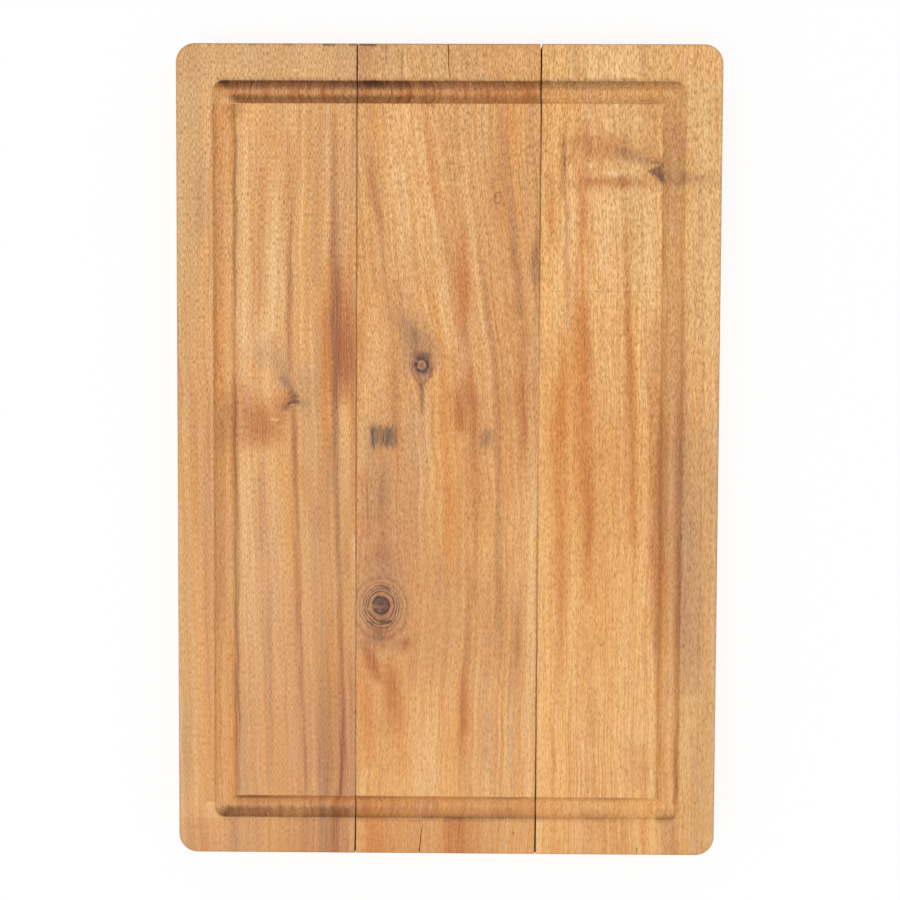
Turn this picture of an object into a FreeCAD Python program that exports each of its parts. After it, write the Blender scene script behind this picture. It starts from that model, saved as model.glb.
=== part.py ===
import FreeCAD, Part
import math
import os

import Sketcher

# A chopping and serving board of solid acacia. Three planks are glued edge to edge, and one
# juice groove is then routed round the whole top face with a round-nosed cutter.
# Frame: origin at the middle of the underside, +Y along the planks, +Z up, millimetres.
SIZES = {
    # the glued-up board
    "board_length": 600.0,
    "left_plank_width": 132.5,
    "middle_plank_width": 134.5,
    "right_plank_width": 133.0,
    "board_thickness": 38.0,
    "corner_radius": 14.0,
    "edge_round": 2.0,
    # the juice groove: the rim left outside it, the cutter, its depth and the sanded lip
    "groove_margin": 27.0,
    "cutter_radius": 9.0,
    "groove_depth": 5.0,
    "lip_round": 0.8,
    # glue lines that have opened at the board's ends, where the plank edges have shrunk apart
    "back_left_gap_width": 0.9,
    "back_left_gap_length": 44.0,
    "back_left_gap_depth": 9.0,
    "back_right_gap_width": 1.4,
    "back_right_gap_length": 190.0,
    "front_left_gap_width": 1.1,
    "front_left_gap_length": 42.0,
    "front_left_gap_depth": 6.0,
    "front_right_gap_width": 1.3,
    "front_right_gap_length": 130.0,
    "front_right_gap_depth": 6.5,
    # drying checks that run in from the middle plank's end grain, placed from its left edge
    "back_check_place": 66.6,
    "back_check_width": 0.7,
    "back_check_length": 31.0,
    "back_check_depth": 4.0,
    "back_check_lean": 1.6,
    "front_check_place": 47.3,
    "front_check_width": 0.9,
    "front_check_length": 27.0,
    "front_check_depth": 3.0,
    "front_check_lean": 2.8,
    # how far a cut is drawn past the wood that it cuts
    "overrun": 5.0,
}

doc = FreeCAD.newDocument("board")
sheet = doc.addObject("Spreadsheet::Sheet", "sizes")
for row, (alias, value) in enumerate(SIZES.items(), start=1):
    sheet.set(f"A{row}", alias)
    sheet.set(f"B{row}", str(value))
    sheet.setAlias(f"B{row}", alias)
doc.recompute()

# Places that several pieces share, as expressions of the sheet's cells.
THICKNESS = "sizes.board_thickness"
ABOVE = "(sizes.board_thickness + sizes.overrun)"
HALF_LENGTH = "(sizes.board_length / 2)"
HALF_WIDTH = "((sizes.left_plank_width + sizes.middle_plank_width + sizes.right_plank_width) / 2)"
LEFT_JOINT = f"(sizes.left_plank_width - {HALF_WIDTH})"
RIGHT_JOINT = f"({HALF_WIDTH} - sizes.right_plank_width)"

# The groove's section is a cove of the cutter's radius that runs on into a sanded lip at each
# side. A lip's centre lies a little less than its radius below the top face, so that its arc
# meets the face at a small angle.
COVE_RISE = "(sizes.cutter_radius - sizes.groove_depth)"
LIP_DROP = "(0.95 * sizes.lip_round)"
REACH = "(sizes.cutter_radius + sizes.lip_round)"
LIP_X = f"sqrt({REACH} ^ 2 - ({COVE_RISE} + {LIP_DROP}) ^ 2)"
MEET_X = f"({LIP_X} * sizes.cutter_radius / {REACH})"
MEET_DROP = f"(({COVE_RISE} + {LIP_DROP}) * sizes.cutter_radius / {REACH} - {COVE_RISE})"
MOUTH_X = f"({LIP_X} - sqrt(sizes.lip_round ^ 2 - {LIP_DROP} ^ 2))"
PATH_X = f"({HALF_WIDTH} - sizes.groove_margin - {MOUTH_X})"
PATH_Y = f"({HALF_LENGTH} - sizes.groove_margin - {MOUTH_X})"

START, END = 1, 2
ORIGIN = (-1, 1)
NEAR = 1e-6


def number(expression):
    """What an expression of the sheet's cells comes to now."""
    return float(sheet.evalExpression(expression))


def vector(place):
    """A place in a sketch, given as a pair of expressions, as a vector."""
    return FreeCAD.Vector(number(place[0]), number(place[1]), 0)


def sketch_on(body, name, role, offset="0 mm"):
    """A sketch on one of the body's origin planes, moved along its normal by the expression."""
    sketch = body.newObject("Sketcher::SketchObject", name)
    plane = next(f for f in body.Origin.OriginFeatures if f.Role == role)
    sketch.AttachmentSupport = (plane, [""])
    sketch.MapMode = "FlatFace"
    sketch.setExpression("AttachmentOffset.Base.z", offset)
    return sketch


def drive(sketch, kind, *where, by):
    """Adds a dimension to a sketch and lets the expression drive it."""
    index = sketch.addConstraint(Sketcher.Constraint(kind, *where, number(by)))
    sketch.setExpression(f"Constraints[{index}]", by)


def pin(sketch, geometry, end, place):
    """Holds one end of a line or an arc at a place."""
    drive(sketch, "DistanceX", *ORIGIN, geometry, end, by=place[0])
    drive(sketch, "DistanceY", *ORIGIN, geometry, end, by=place[1])


def ring(sketch, places, arcs=None):
    """Draws a closed outline through places.

    arcs gives, by the number of a side that isn't straight, its centre, its radius and its
    turn, where 1 is anticlockwise and -1 is clockwise.
    """
    arcs = arcs or {}
    sides = []
    for i, place in enumerate(places):
        start, end = vector(place), vector(places[(i + 1) % len(places)])
        first, last = START, END
        if i in arcs:
            centre, radius, turn = arcs[i]
            if turn < 0:
                start, end, first, last = end, start, END, START
            middle = vector(centre)
            angles = [math.atan2(p.y - middle.y, p.x - middle.x) for p in (start, end)]
            circle = Part.Circle(middle, FreeCAD.Vector(0, 0, 1), number(radius))
            index = sketch.addGeometry(Part.ArcOfCircle(circle, *angles))
            drive(sketch, "Radius", index, by=radius)
        else:
            index = sketch.addGeometry(Part.LineSegment(start, end))
        pin(sketch, index, first, place)
        sides.append((index, first, last))
    for (index, _, last), (after, first, _) in zip(sides, sides[1:] + sides[:1]):
        sketch.addConstraint(Sketcher.Constraint("Coincident", index, last, after, first))


def add(body, kind, name, sketch, **settings):
    """Adds a feature made from a sketch; a length is an expression, and a cut must cut."""
    before = 0 if body.Shape.isNull() else body.Shape.Volume
    feature = body.newObject(f"PartDesign::{kind}", name)
    feature.Profile = sketch
    for setting, value in settings.items():
        if setting == "Length":
            feature.setExpression("Length", value)
        else:
            setattr(feature, setting, value)
    doc.recompute()
    if kind != "Pad" and body.Shape.Volume > before - NEAR:
        raise RuntimeError(f"{name} cuts nothing from {body.Name}")
    return feature


def edges_where(feature, wanted):
    """The names of a feature's edges whose middle passes the test."""
    names = []
    for i, edge in enumerate(feature.Shape.Edges, start=1):
        middle = edge.valueAt((edge.FirstParameter + edge.LastParameter) / 2)
        if wanted(edge, middle):
            names.append(f"Edge{i}")
    return names


def round_over(body, name, feature, edges, radius):
    """Rounds edges of the body's last feature to the radius that the expression gives."""
    fillet = body.newObject("PartDesign::Fillet", name)
    fillet.Base = (feature, edges)
    fillet.setExpression("Radius", radius)
    doc.recompute()
    return fillet


def plank(name, left, right, outside=()):
    """Saws one plank between two places, and rounds the board's corners and rims on it.

    outside holds the place that is an outside edge of the board, if the plank has one.
    """
    body = doc.addObject("PartDesign::Body", name)
    outline = sketch_on(body, f"{name}_outline", "XY_Plane")
    front, back = f"-{HALF_LENGTH}", HALF_LENGTH
    ring(outline, [(left, front), (right, front), (right, back), (left, back)])
    solid = add(body, "Pad", f"{name}_stock", outline, Length=THICKNESS)
    end, top = number(HALF_LENGTH), number(THICKNESS)

    def is_outside(middle):
        return any(abs(middle.x - number(place)) < NEAR for place in outside)

    def is_upright(edge, middle):
        return is_outside(middle) and abs(middle.z - top / 2) < NEAR

    def is_rim(edge, middle):
        on_a_face = min(abs(middle.z), abs(middle.z - top)) < NEAR
        on_an_end = abs(abs(middle.y) - end) < NEAR
        is_corner = edge.Curve.TypeId == "Part::GeomCircle"
        return on_a_face and (on_an_end or is_corner or is_outside(middle))

    if outside:
        corners = edges_where(solid, is_upright)
        solid = round_over(body, f"{name}_corners", solid, corners, "sizes.corner_radius")
    round_over(body, f"{name}_rim", solid, edges_where(solid, is_rim), "sizes.edge_round")
    return body


def groove_section(sketch, middle, sides):
    """Draws the groove's section round a middle that lies where the expression says.

    sides is (-1, 1) for the whole section, and (-1,) or (1,) for the half on that side.
    """
    bottom = (middle, f"({THICKNESS} - sizes.groove_depth)")
    above = (middle, ABOVE)

    def meet(side):
        return (f"({middle} + {side} * {MEET_X})", f"({THICKNESS} - {MEET_DROP})")

    def mouth(side, height=THICKNESS):
        return (f"({middle} + {side} * {MOUTH_X})", height)

    def lip(side):
        centre = (f"({middle} + {side} * {LIP_X})", f"({THICKNESS} - {LIP_DROP})")
        return (centre, "sizes.lip_round", -1)

    places = [meet(-1) if -1 in sides else bottom]
    arcs = {0: ((middle, f"({THICKNESS} + {COVE_RISE})"), "sizes.cutter_radius", 1)}
    if 1 in sides:
        places += [meet(1), mouth(1), mouth(1, ABOVE)]
        arcs[1] = lip(1)
    else:
        places += [bottom, above]
    if -1 in sides:
        places += [mouth(-1, ABOVE), mouth(-1)]
        arcs[len(places) - 1] = lip(-1)
    else:
        places += [above]
    ring(sketch, places, arcs)


def groove_run(body, name, role, middle, path):
    """Routs a straight run of the groove, centred on the board, that ends at the corners."""
    sketch = sketch_on(body, f"{body.Name}_{name}_section", role)
    groove_section(sketch, middle, (-1, 1))
    length = f"(2 * {path})"
    add(body, "Pocket", f"{body.Name}_{name}", sketch, Midplane=True, Length=length)


def groove_corner(body, name, side, end):
    """Turns the groove's corner: the round nose leaves a quarter of a bowl at its outside.

    side is 1 at the right and -1 at the left, and end is 1 at the back and -1 at the front.
    """
    sketch = sketch_on(body, f"{body.Name}_{name}_section", "XZ_Plane", f"{-end} * {PATH_Y}")
    middle = f"({side} * {PATH_X})"
    groove_section(sketch, middle, (side,))
    foot, head = (middle, "0 * sizes.overrun"), (middle, ABOVE)
    axis = sketch.addGeometry(Part.LineSegment(vector(foot), vector(head)), True)
    pin(sketch, axis, START, foot)
    pin(sketch, axis, END, head)
    turned = {"ReferenceAxis": (sketch, ["Axis0"]), "Angle": 90, "Reversed": side != end}
    add(body, "Groove", f"{body.Name}_{name}", sketch, **turned)


def cut_down(body, name, corners, depth):
    """Cuts straight down into the body from its top face, inside the corners given."""
    sketch = sketch_on(body, f"{name}_line", "XY_Plane", THICKNESS)
    ring(sketch, corners)
    add(body, "Pocket", name, sketch, Length=depth)


def open_joint(body, name, joint, into, end, depth):
    """Opens a glue line at one end of the board, by a taper off the plank's edge.

    into is 1 or -1, towards the plank's wood from the glue line. The taper runs on at its
    slope past the end, so that the gap has its full width at the end itself.
    """
    width, length = f"sizes.{name}_width", f"sizes.{name}_length"
    past = f"({end} * ({HALF_LENGTH} + sizes.overrun))"
    mouth = f"({joint} + {into} * {width} * (1 + sizes.overrun / {length}))"
    tip = (joint, f"({end} * ({HALF_LENGTH} - {length}))")
    cut_down(body, name, [tip, (joint, past), (mouth, past)], depth)


def end_check(body, name, end):
    """Cuts a drying check that runs in from the end grain and closes to a point."""
    width, length = f"sizes.{name}_width", f"sizes.{name}_length"
    lean = f"sizes.{name}_lean"
    place = f"({LEFT_JOINT} + sizes.{name}_place)"
    past = f"({end} * ({HALF_LENGTH} + sizes.overrun))"
    foot = f"({place} - {lean} * sizes.overrun / {length})"
    half = f"({width} / 2 * (1 + sizes.overrun / {length}))"
    tip = (f"({place} + {lean})", f"({end} * ({HALF_LENGTH} - {length}))")
    corners = [tip, (f"({foot} - {half})", past), (f"({foot} + {half})", past)]
    cut_down(body, name, corners, f"sizes.{name}_depth")


left_plank = plank("plank_left", f"-{HALF_WIDTH}", LEFT_JOINT, (f"-{HALF_WIDTH}",))
middle_plank = plank("plank_middle", LEFT_JOINT, RIGHT_JOINT)
right_plank = plank("plank_right", RIGHT_JOINT, HALF_WIDTH, (HALF_WIDTH,))
planks = [left_plank, middle_plank, right_plank]

for body in planks:
    groove_run(body, "back_groove", "YZ_Plane", PATH_Y, PATH_X)
    groove_run(body, "front_groove", "YZ_Plane", f"(-1 * {PATH_Y})", PATH_X)
for body, side in ((left_plank, -1), (right_plank, 1)):
    groove_run(body, "side_groove", "XZ_Plane", f"({side} * {PATH_X})", PATH_Y)
    groove_corner(body, "back_corner", side, 1)
    groove_corner(body, "front_corner", side, -1)

open_joint(left_plank, "back_left_gap", LEFT_JOINT, -1, 1, "sizes.back_left_gap_depth")
open_joint(left_plank, "front_left_gap", LEFT_JOINT, -1, -1, "sizes.front_left_gap_depth")
open_joint(right_plank, "back_right_gap", RIGHT_JOINT, 1, 1, ABOVE)
open_joint(right_plank, "front_right_gap", RIGHT_JOINT, 1, -1, "sizes.front_right_gap_depth")
end_check(middle_plank, "back_check", 1)
end_check(middle_plank, "front_check", -1)
doc.recompute()

for item in doc.Objects:
    if "Invalid" in item.State or "Error" in item.State:
        raise RuntimeError(f"{item.Name} is {item.State}")
os.makedirs("parts", exist_ok=True)
for body in planks:
    if body.Shape.isNull() or not body.Shape.isValid() or len(body.Shape.Solids) != 1:
        raise RuntimeError(f"{body.Label} is not one sound solid")
    body.Shape.exportStep(f"parts/{body.Label}.step")
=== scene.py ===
# %% [markdown]
# # A thick acacia chopping board
#
# The board is three planks of acacia glued edge to edge, with a juice groove routed round its
# top face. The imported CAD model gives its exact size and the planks' names. Here each plank
# gets a finer surface over the same solid, and the figure of the wood.
#
# All lengths are worked out in millimetres, because a joiner thinks in them, and are turned to
# metres at the moment that a mesh is made.

# %% The frame that the CAD model gives
import itertools
import math

import bpy
import numpy as np
from mathutils import Matrix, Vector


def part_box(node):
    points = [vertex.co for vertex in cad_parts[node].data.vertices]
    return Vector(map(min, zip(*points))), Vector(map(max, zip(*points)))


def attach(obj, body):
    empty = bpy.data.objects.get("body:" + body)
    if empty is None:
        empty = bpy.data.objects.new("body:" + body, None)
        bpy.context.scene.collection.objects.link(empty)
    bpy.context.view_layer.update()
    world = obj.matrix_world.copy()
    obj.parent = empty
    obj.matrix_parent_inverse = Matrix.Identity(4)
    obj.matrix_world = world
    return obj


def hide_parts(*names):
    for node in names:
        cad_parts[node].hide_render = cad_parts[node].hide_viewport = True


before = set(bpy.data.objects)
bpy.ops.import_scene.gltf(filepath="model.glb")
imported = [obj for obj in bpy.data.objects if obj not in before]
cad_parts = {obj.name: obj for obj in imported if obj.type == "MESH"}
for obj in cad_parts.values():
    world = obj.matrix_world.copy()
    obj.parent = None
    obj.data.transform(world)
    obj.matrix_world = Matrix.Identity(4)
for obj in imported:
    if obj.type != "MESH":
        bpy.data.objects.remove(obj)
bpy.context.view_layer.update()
MM = 0.001

PLANKS = ("plank_left", "plank_middle", "plank_right")
boxes = {name: np.array(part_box(name)) / MM for name in PLANKS}
LEFT_JOINT = boxes["plank_middle"][0, 0]
RIGHT_JOINT = boxes["plank_middle"][1, 0]
HALF_WIDTH = boxes["plank_right"][1, 0]
HALF_LENGTH = boxes["plank_middle"][1, 1]
THICKNESS = boxes["plank_middle"][1, 2]
print(f"board {2 * HALF_WIDTH:.1f} x {2 * HALF_LENGTH:.1f} x {THICKNESS:.1f} mm,",
      f"glue lines at x = {LEFT_JOINT:.1f} and {RIGHT_JOINT:.1f}")

# %% [markdown]
# ## The camera
#
# The photograph looks almost straight down from about a metre and a half, through a lens of
# moderate length. The board's four sides aren't quite parallel in it, and that fixes the
# camera's small tilt. The steps below move the world into the camera's own axes, so their
# inverse is the camera's place.

# %% The camera at the photograph's viewing angle
LENS = 85.0
CAMERA_TILT = (3.915, -0.757, -0.285)
CAMERA_SHIFT = (-1.8, -2.9)
CAMERA_DISTANCE = 1569.3

camera_data = bpy.data.cameras.new("camera")
camera_data.lens = LENS
camera_data.sensor_width = 36.0
camera_data.clip_end = 100.0
camera = bpy.data.objects.new("camera", camera_data)
bpy.context.scene.collection.objects.link(camera)
bpy.context.scene.camera = camera

about_x, about_y, about_z = (
    Matrix.Rotation(math.radians(angle), 4, axis) for angle, axis in zip(CAMERA_TILT, "XYZ")
)
into_view = (
    Matrix.Translation((CAMERA_SHIFT[0] * MM, CAMERA_SHIFT[1] * MM, -CAMERA_DISTANCE * MM))
    @ about_z @ about_y @ about_x
    @ Matrix.Translation((0, 0, -THICKNESS * MM))
)
camera.matrix_world = into_view.inverted()
print("camera at", [round(c, 3) for c in camera.matrix_world.translation])

# %% [markdown]
# ## Colours and nodes
#
# Colours are written as sRGB hex, the way a paint chart gives them, and one function turns
# them to the linear values that the shaders add and multiply. One more function adds a node
# with its settings and its links, so that each finish reads from top to bottom.

# %% Hex colours and a node in one line
def linear(hex_colour):
    """sRGB hex to linear RGBA: each channel c is c / 12.92 below 0.04045, and otherwise
    ((c + 0.055) / 1.055) to the power 2.4."""
    srgb = np.array([int(hex_colour[i:i + 2], 16) / 255 for i in (1, 3, 5)])
    rgb = np.where(srgb <= 0.04045, srgb / 12.92, ((srgb + 0.055) / 1.055) ** 2.4)
    return (*map(float, rgb), 1.0)


def add(tree, kind, links=None, **settings):
    """Adds a node to a tree. settings are its properties, and links gives its inputs by name or
    by number: a socket is linked, a node is linked by its first output that is in use, and any
    other value is set."""
    node = tree.nodes.new(kind)
    for name, value in settings.items():
        setattr(node, name, value)
    for name, value in (links or {}).items():
        if isinstance(value, bpy.types.Node):
            value = next(socket for socket in value.outputs if socket.enabled)
        if isinstance(value, bpy.types.NodeSocket):
            tree.links.new(value, node.inputs[name])
        else:
            node.inputs[name].default_value = value
    return node


print("honey acacia in linear light:", [round(c, 3) for c in linear("#dcab70")])

# %% [markdown]
# ## Floor and light
#
# The photograph is a plain studio shot on white. The floor is white paper: it takes the board's
# soft shadow, and a part of what the camera sees of it is a plain white of strength 1, so the
# paper stays white close round the board. A pale sky lights the board evenly at the level at
# which a colour renders as it is written, and a wide lamp towards the front adds the little
# direction that shapes the groove.

# %% White paper, a pale sky and one wide lamp
FLOOR_SIZE = 12.0
PLAIN_SHARE = 0.88
SKY_LEVEL = 0.80
LAMP_POWER = 58.0

world = bpy.data.worlds.new("studio")
bpy.context.scene.world = world
world.use_nodes = True
world.node_tree.nodes.clear()
ray = add(world.node_tree, "ShaderNodeLightPath")
seen = add(world.node_tree, "ShaderNodeMath",
           {0: ray.outputs["Is Camera Ray"], 1: ray.outputs["Is Transmission Ray"]},
           operation="MAXIMUM")
level = add(world.node_tree, "ShaderNodeMapRange",
            {"Value": seen, "To Min": SKY_LEVEL, "To Max": 1.0})
sky = add(world.node_tree, "ShaderNodeBackground",
          {"Color": linear("#ffffff"), "Strength": level})
add(world.node_tree, "ShaderNodeOutputWorld", {"Surface": sky})

paper = bpy.data.materials.new("white_studio_paper")
paper.use_nodes = True
paper.node_tree.nodes.clear()
ray = add(paper.node_tree, "ShaderNodeLightPath")
matt = add(paper.node_tree, "ShaderNodeBsdfDiffuse", {"Color": linear("#ffffff")})
plain = add(paper.node_tree, "ShaderNodeEmission", {"Color": linear("#ffffff"), "Strength": 1.0})
share = add(paper.node_tree, "ShaderNodeMath",
            {0: ray.outputs["Is Camera Ray"], 1: PLAIN_SHARE}, operation="MULTIPLY")
surface = add(paper.node_tree, "ShaderNodeMixShader", {0: share, 1: matt, 2: plain})
add(paper.node_tree, "ShaderNodeOutputMaterial", {"Surface": surface})

side = FLOOR_SIZE / 2
floor_mesh = bpy.data.meshes.new("floor")
floor_mesh.from_pydata([(-side, -side, 0), (side, -side, 0), (side, side, 0), (-side, side, 0)],
                       [], [(0, 1, 2, 3)])
floor = bpy.data.objects.new("floor", floor_mesh)
floor_mesh.materials.append(paper)
bpy.context.scene.collection.objects.link(floor)

lamp_data = bpy.data.lights.new("wide_lamp", "AREA")
lamp_data.shape = "RECTANGLE"
lamp_data.size, lamp_data.size_y = 2.4, 1.6
lamp_data.energy = LAMP_POWER
lamp = bpy.data.objects.new("wide_lamp", lamp_data)
lamp.location = (-1.2, -1.2, 4.6)
lamp.rotation_euler = (math.radians(14), math.radians(-14), 0)
bpy.context.scene.collection.objects.link(lamp)
print(f"sky {SKY_LEVEL}, lamp {LAMP_POWER} W")

# %% [markdown]
# ## The board's outline and its groove
#
# A joiner marks the outline, rounds the corners, and then runs a router with a round-nosed
# cutter round the top on one rectangular path. Both shapes come from one idea: how far a point
# is from a line. The distance in from the outline gives the rounded rim, and the distance from
# the cutter's path gives the groove, which so turns round on the outside of its corners and
# stays square on the inside.

# %% Distances that give the rim and the groove
CORNER_RADIUS = 14.0
RIM_RADIUS = 2.0
GROOVE_MARGIN = 27.0
CUTTER_RADIUS = 9.0
GROOVE_DEPTH = 5.0
LIP_RADIUS = 0.8
LIP_TURN = 0.95

# The cutter's middle is COVE_RISE above the face, and the middle of each lip's circle is LIP_DROP
# below it. The two circles touch, so their middles are both radii apart, and they meet on the
# line between them, MEET_X from the path. The lip comes up to the face at MOUTH_X.
COVE_RISE = CUTTER_RADIUS - GROOVE_DEPTH
LIP_DROP = LIP_TURN * LIP_RADIUS
LIP_X = math.sqrt((CUTTER_RADIUS + LIP_RADIUS) ** 2 - (COVE_RISE + LIP_DROP) ** 2)
MEET_X = LIP_X * CUTTER_RADIUS / (CUTTER_RADIUS + LIP_RADIUS)
MOUTH_X = LIP_X - math.sqrt(LIP_RADIUS ** 2 - LIP_DROP ** 2)
PATH_X = HALF_WIDTH - GROOVE_MARGIN - MOUTH_X
PATH_Y = HALF_LENGTH - GROOVE_MARGIN - MOUTH_X


def inset(x, y):
    """Distance in from the rounded outline: with q the distance outside the box that the corner
    circles' centres span, it is the corner radius less |q| at a corner, and elsewhere the
    distance to the nearest side."""
    qx = np.abs(x) - (HALF_WIDTH - CORNER_RADIUS)
    qy = np.abs(y) - (HALF_LENGTH - CORNER_RADIUS)
    outside = np.hypot(np.maximum(qx, 0), np.maximum(qy, 0))
    return CORNER_RADIUS - outside - np.minimum(np.maximum(qx, qy), 0)


def rim_drop(distance):
    """Drop of a quarter-round rim: radius - sqrt(radius^2 - (radius - distance)^2)."""
    reach = np.clip(RIM_RADIUS - distance, 0, RIM_RADIUS)
    return RIM_RADIUS - np.sqrt(RIM_RADIUS ** 2 - reach ** 2)


def off_path(x, y):
    """Signed distance from the cutter's path: positive outside the rectangle, and negative
    inside it. Outside, it is the distance to the nearest side or corner, and inside, the
    distance to the nearest side."""
    dx, dy = np.abs(x) - PATH_X, np.abs(y) - PATH_Y
    outside = np.hypot(np.maximum(dx, 0), np.maximum(dy, 0))
    return outside + np.minimum(np.maximum(dx, dy), 0)


def groove_drop(across):
    """Depth of the groove at a distance across it: the cove is a circle of the cutter's radius,
    and each lip is a small circle that touches it and meets the face."""
    across = np.abs(across)
    cove = np.sqrt(np.maximum(CUTTER_RADIUS ** 2 - across ** 2, 0)) - COVE_RISE
    lip = LIP_DROP - np.sqrt(np.maximum(LIP_RADIUS ** 2 - (across - LIP_X) ** 2, 0))
    return np.where(across < MEET_X, cove, np.where(across < MOUTH_X, np.maximum(lip, 0), 0))


print(f"groove path at x = {PATH_X:.2f}, y = {PATH_Y:.2f}, {2 * MOUTH_X:.1f} mm wide,",
      f"{float(groove_drop(np.array(0.0))):.1f} mm deep")

# %% [markdown]
# ## Glue lines and cracks
#
# The board has dried. Its glue lines have opened at the ends, and two checks run into the
# middle plank from its end grain. A gap is only a width and a depth that change along the
# board, so each is a short list of (y, value) places joined by straight runs, and both planks
# draw back from a glue line by half of its gap.

# %% Gap widths and depths along the board
def wander(along, wavelength, seed):
    """A smooth random line: the sum of four sines with wavelengths near the one given and
    random phases, scaled to stay within about -1 to 1."""
    rng = np.random.default_rng(seed)
    waves = wavelength * rng.uniform(0.5, 1.6, 4)
    phases = rng.uniform(0, 2 * np.pi, 4)
    return np.sin(np.asarray(along)[..., None] * 2 * np.pi / waves + phases).sum(-1) / 2.5


def runs(y, places):
    """Straight runs through (y, value) pairs, which go from the front to the back."""
    at, value = zip(*places)
    return np.interp(y, at, value)


GAP_WIDTH = {
    "left": [(-300, 1.1), (-262, 0.5), (-250, 0.1), (-196, 0.1), (-193, 0.5), (-190, 0.1),
             (240, 0.1), (262, 0.6), (280, 0.9), (300, 0.7)],
    "right": [(-300, 1.3), (-272, 1.0), (-225, 0.5), (-150, 0.15), (-80, 0.06), (150, 0.06),
              (200, 0.15), (240, 0.5), (262, 0.8), (290, 1.1), (300, 1.5)],
}
GAP_DEPTH = {
    "left": [(-300, 6.0), (-270, 6.0), (-250, 1.0), (250, 1.0), (280, 7.0), (300, 9.0)],
    "right": [(-300, 6.5), (-200, 6.5), (-80, 1.0), (70, 1.0), (110, 8.0), (200, 38.0),
              (300, 38.0)],
}
CHECK_PLACE = [(-300, -20.2), (-273, -17.4), (-150, -12), (150, -2), (269, 0.7), (300, -0.9)]
CHECK_WIDTH = [(-300, 0.8), (-282, 0.7), (-271, 0.0), (268, 0.0), (285, 0.8), (300, 1.0)]
CHECK_DEPTH = [(-300, 3.0), (-271, 0.0), (268, 0.0), (300, 3.0)]
GLUE_LEAN = 0.4
GLUE_WANDER = 0.1
THROUGH_SHARE = 0.2


def glue_line(side, y):
    """Where a glue line runs: it leans by GLUE_LEAN either way over its length, and wanders by
    about GLUE_WANDER."""
    joint, seed = {"left": (LEFT_JOINT, 3), "right": (RIGHT_JOINT, 4)}[side]
    lean = np.asarray(y) / HALF_LENGTH * GLUE_LEAN
    return joint + lean + GLUE_WANDER * wander(y, 60.0, seed)


def gap_recess(side, y, depth):
    """Half the gap at a depth below the top face: full at the top, and closing down to the
    gap's own depth by the square root of what is left. One that goes right through only
    narrows, to THROUGH_SHARE of its width."""
    deep = runs(y, GAP_DEPTH[side])
    left = np.sqrt(np.clip(1 - depth / deep, 0, 1))
    through = THROUGH_SHARE + (1 - THROUGH_SHARE) * left
    return runs(y, GAP_WIDTH[side]) / 2 * np.where(deep > THICKNESS - 1, through, left)


print("widest gap:", max(width for _, width in GAP_WIDTH["right"]), "mm")

# %% [markdown]
# ## A plank's surface
#
# A plank is one closed skin. Its top is a grid of points whose rows run across the board and
# whose columns run along it. They lie close together where the shape bends, at the rim and in
# the groove, and wider apart on the flat. The height of each point is the plank's thickness
# less every cut that reaches it. A band of walls then goes down from the grid's edge. The
# underside is flat inside its own rounded rim, so it keeps only one row in four: enough for
# the figure, which shows there too.

# %% Rows and columns
ACROSS_PITCH = 0.8
ALONG_PITCH = 2.2
GROOVE_PITCH = 0.45
GROOVE_REACH = MOUTH_X + 1.2
BESIDE_JOINT = 0.3
RIM_INSETS = RIM_RADIUS * (1 - np.cos(np.linspace(0, np.pi / 2, 6)))


def spaced(start, stop, pitch):
    """Even places from start up to but without stop, no further apart than the pitch."""
    count = max(1, math.ceil((stop - start) / pitch - 1e-9))
    return np.linspace(start, stop, count, endpoint=False)


def outwards(first, path, edge, pitch):
    """Places from the first, over the groove's path, to the rounded edge, close where it
    bends."""
    return np.concatenate([
        spaced(first, path - GROOVE_REACH, pitch),
        spaced(path - GROOVE_REACH, path + GROOVE_REACH, GROOVE_PITCH),
        spaced(path + GROOVE_REACH, edge - RIM_RADIUS, pitch),
        edge - RIM_INSETS[::-1],
    ])


half_rows = outwards(0, PATH_Y, HALF_LENGTH, ALONG_PITCH)
ROWS = np.concatenate([-half_rows[:0:-1], half_rows])
COLUMNS = {
    "plank_left": -outwards(-LEFT_JOINT, PATH_X, HALF_WIDTH, ACROSS_PITCH)[::-1],
    "plank_middle": np.append(spaced(LEFT_JOINT, RIGHT_JOINT, ACROSS_PITCH), RIGHT_JOINT),
    "plank_right": outwards(RIGHT_JOINT, PATH_X, HALF_WIDTH, ACROSS_PITCH),
}
# A column just beside each glue line keeps the dark tone of the glue narrow.
for name, beside in (
    ("plank_left", [LEFT_JOINT - BESIDE_JOINT]),
    ("plank_middle", [LEFT_JOINT + BESIDE_JOINT, RIGHT_JOINT - BESIDE_JOINT]),
    ("plank_right", [RIGHT_JOINT + BESIDE_JOINT]),
):
    COLUMNS[name] = np.sort(np.append(COLUMNS[name], beside))
SIDES = {
    "plank_left": ("outside", "left"),
    "plank_middle": ("left", "right"),
    "plank_right": ("right", "outside"),
}
print(len(ROWS), "rows;", {name: len(columns) for name, columns in COLUMNS.items()}, "columns")


# %% The grid of one plank's top
CHECK_WANDER = 0.25
CLOSED_CHECK = 0.08
WAVE_HEIGHT = 0.05
WAVE_FADE = 5.0
CUTTER_WANDER = 0.12


def side_place(kind, sign, y):
    """Where a plank's side runs, seen from above. An outside one follows the rounded corner:
    the half width less r - sqrt(r^2 - reach^2). A glued one draws back by half the gap."""
    if kind == "outside":
        reach = np.clip(np.abs(y) - (HALF_LENGTH - CORNER_RADIUS), 0, CORNER_RADIUS)
        corner = CORNER_RADIUS - np.sqrt(CORNER_RADIUS ** 2 - reach ** 2)
        return sign * (HALF_WIDTH - corner)
    return glue_line(kind, y) - sign * gap_recess(kind, y, 0.0)


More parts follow.
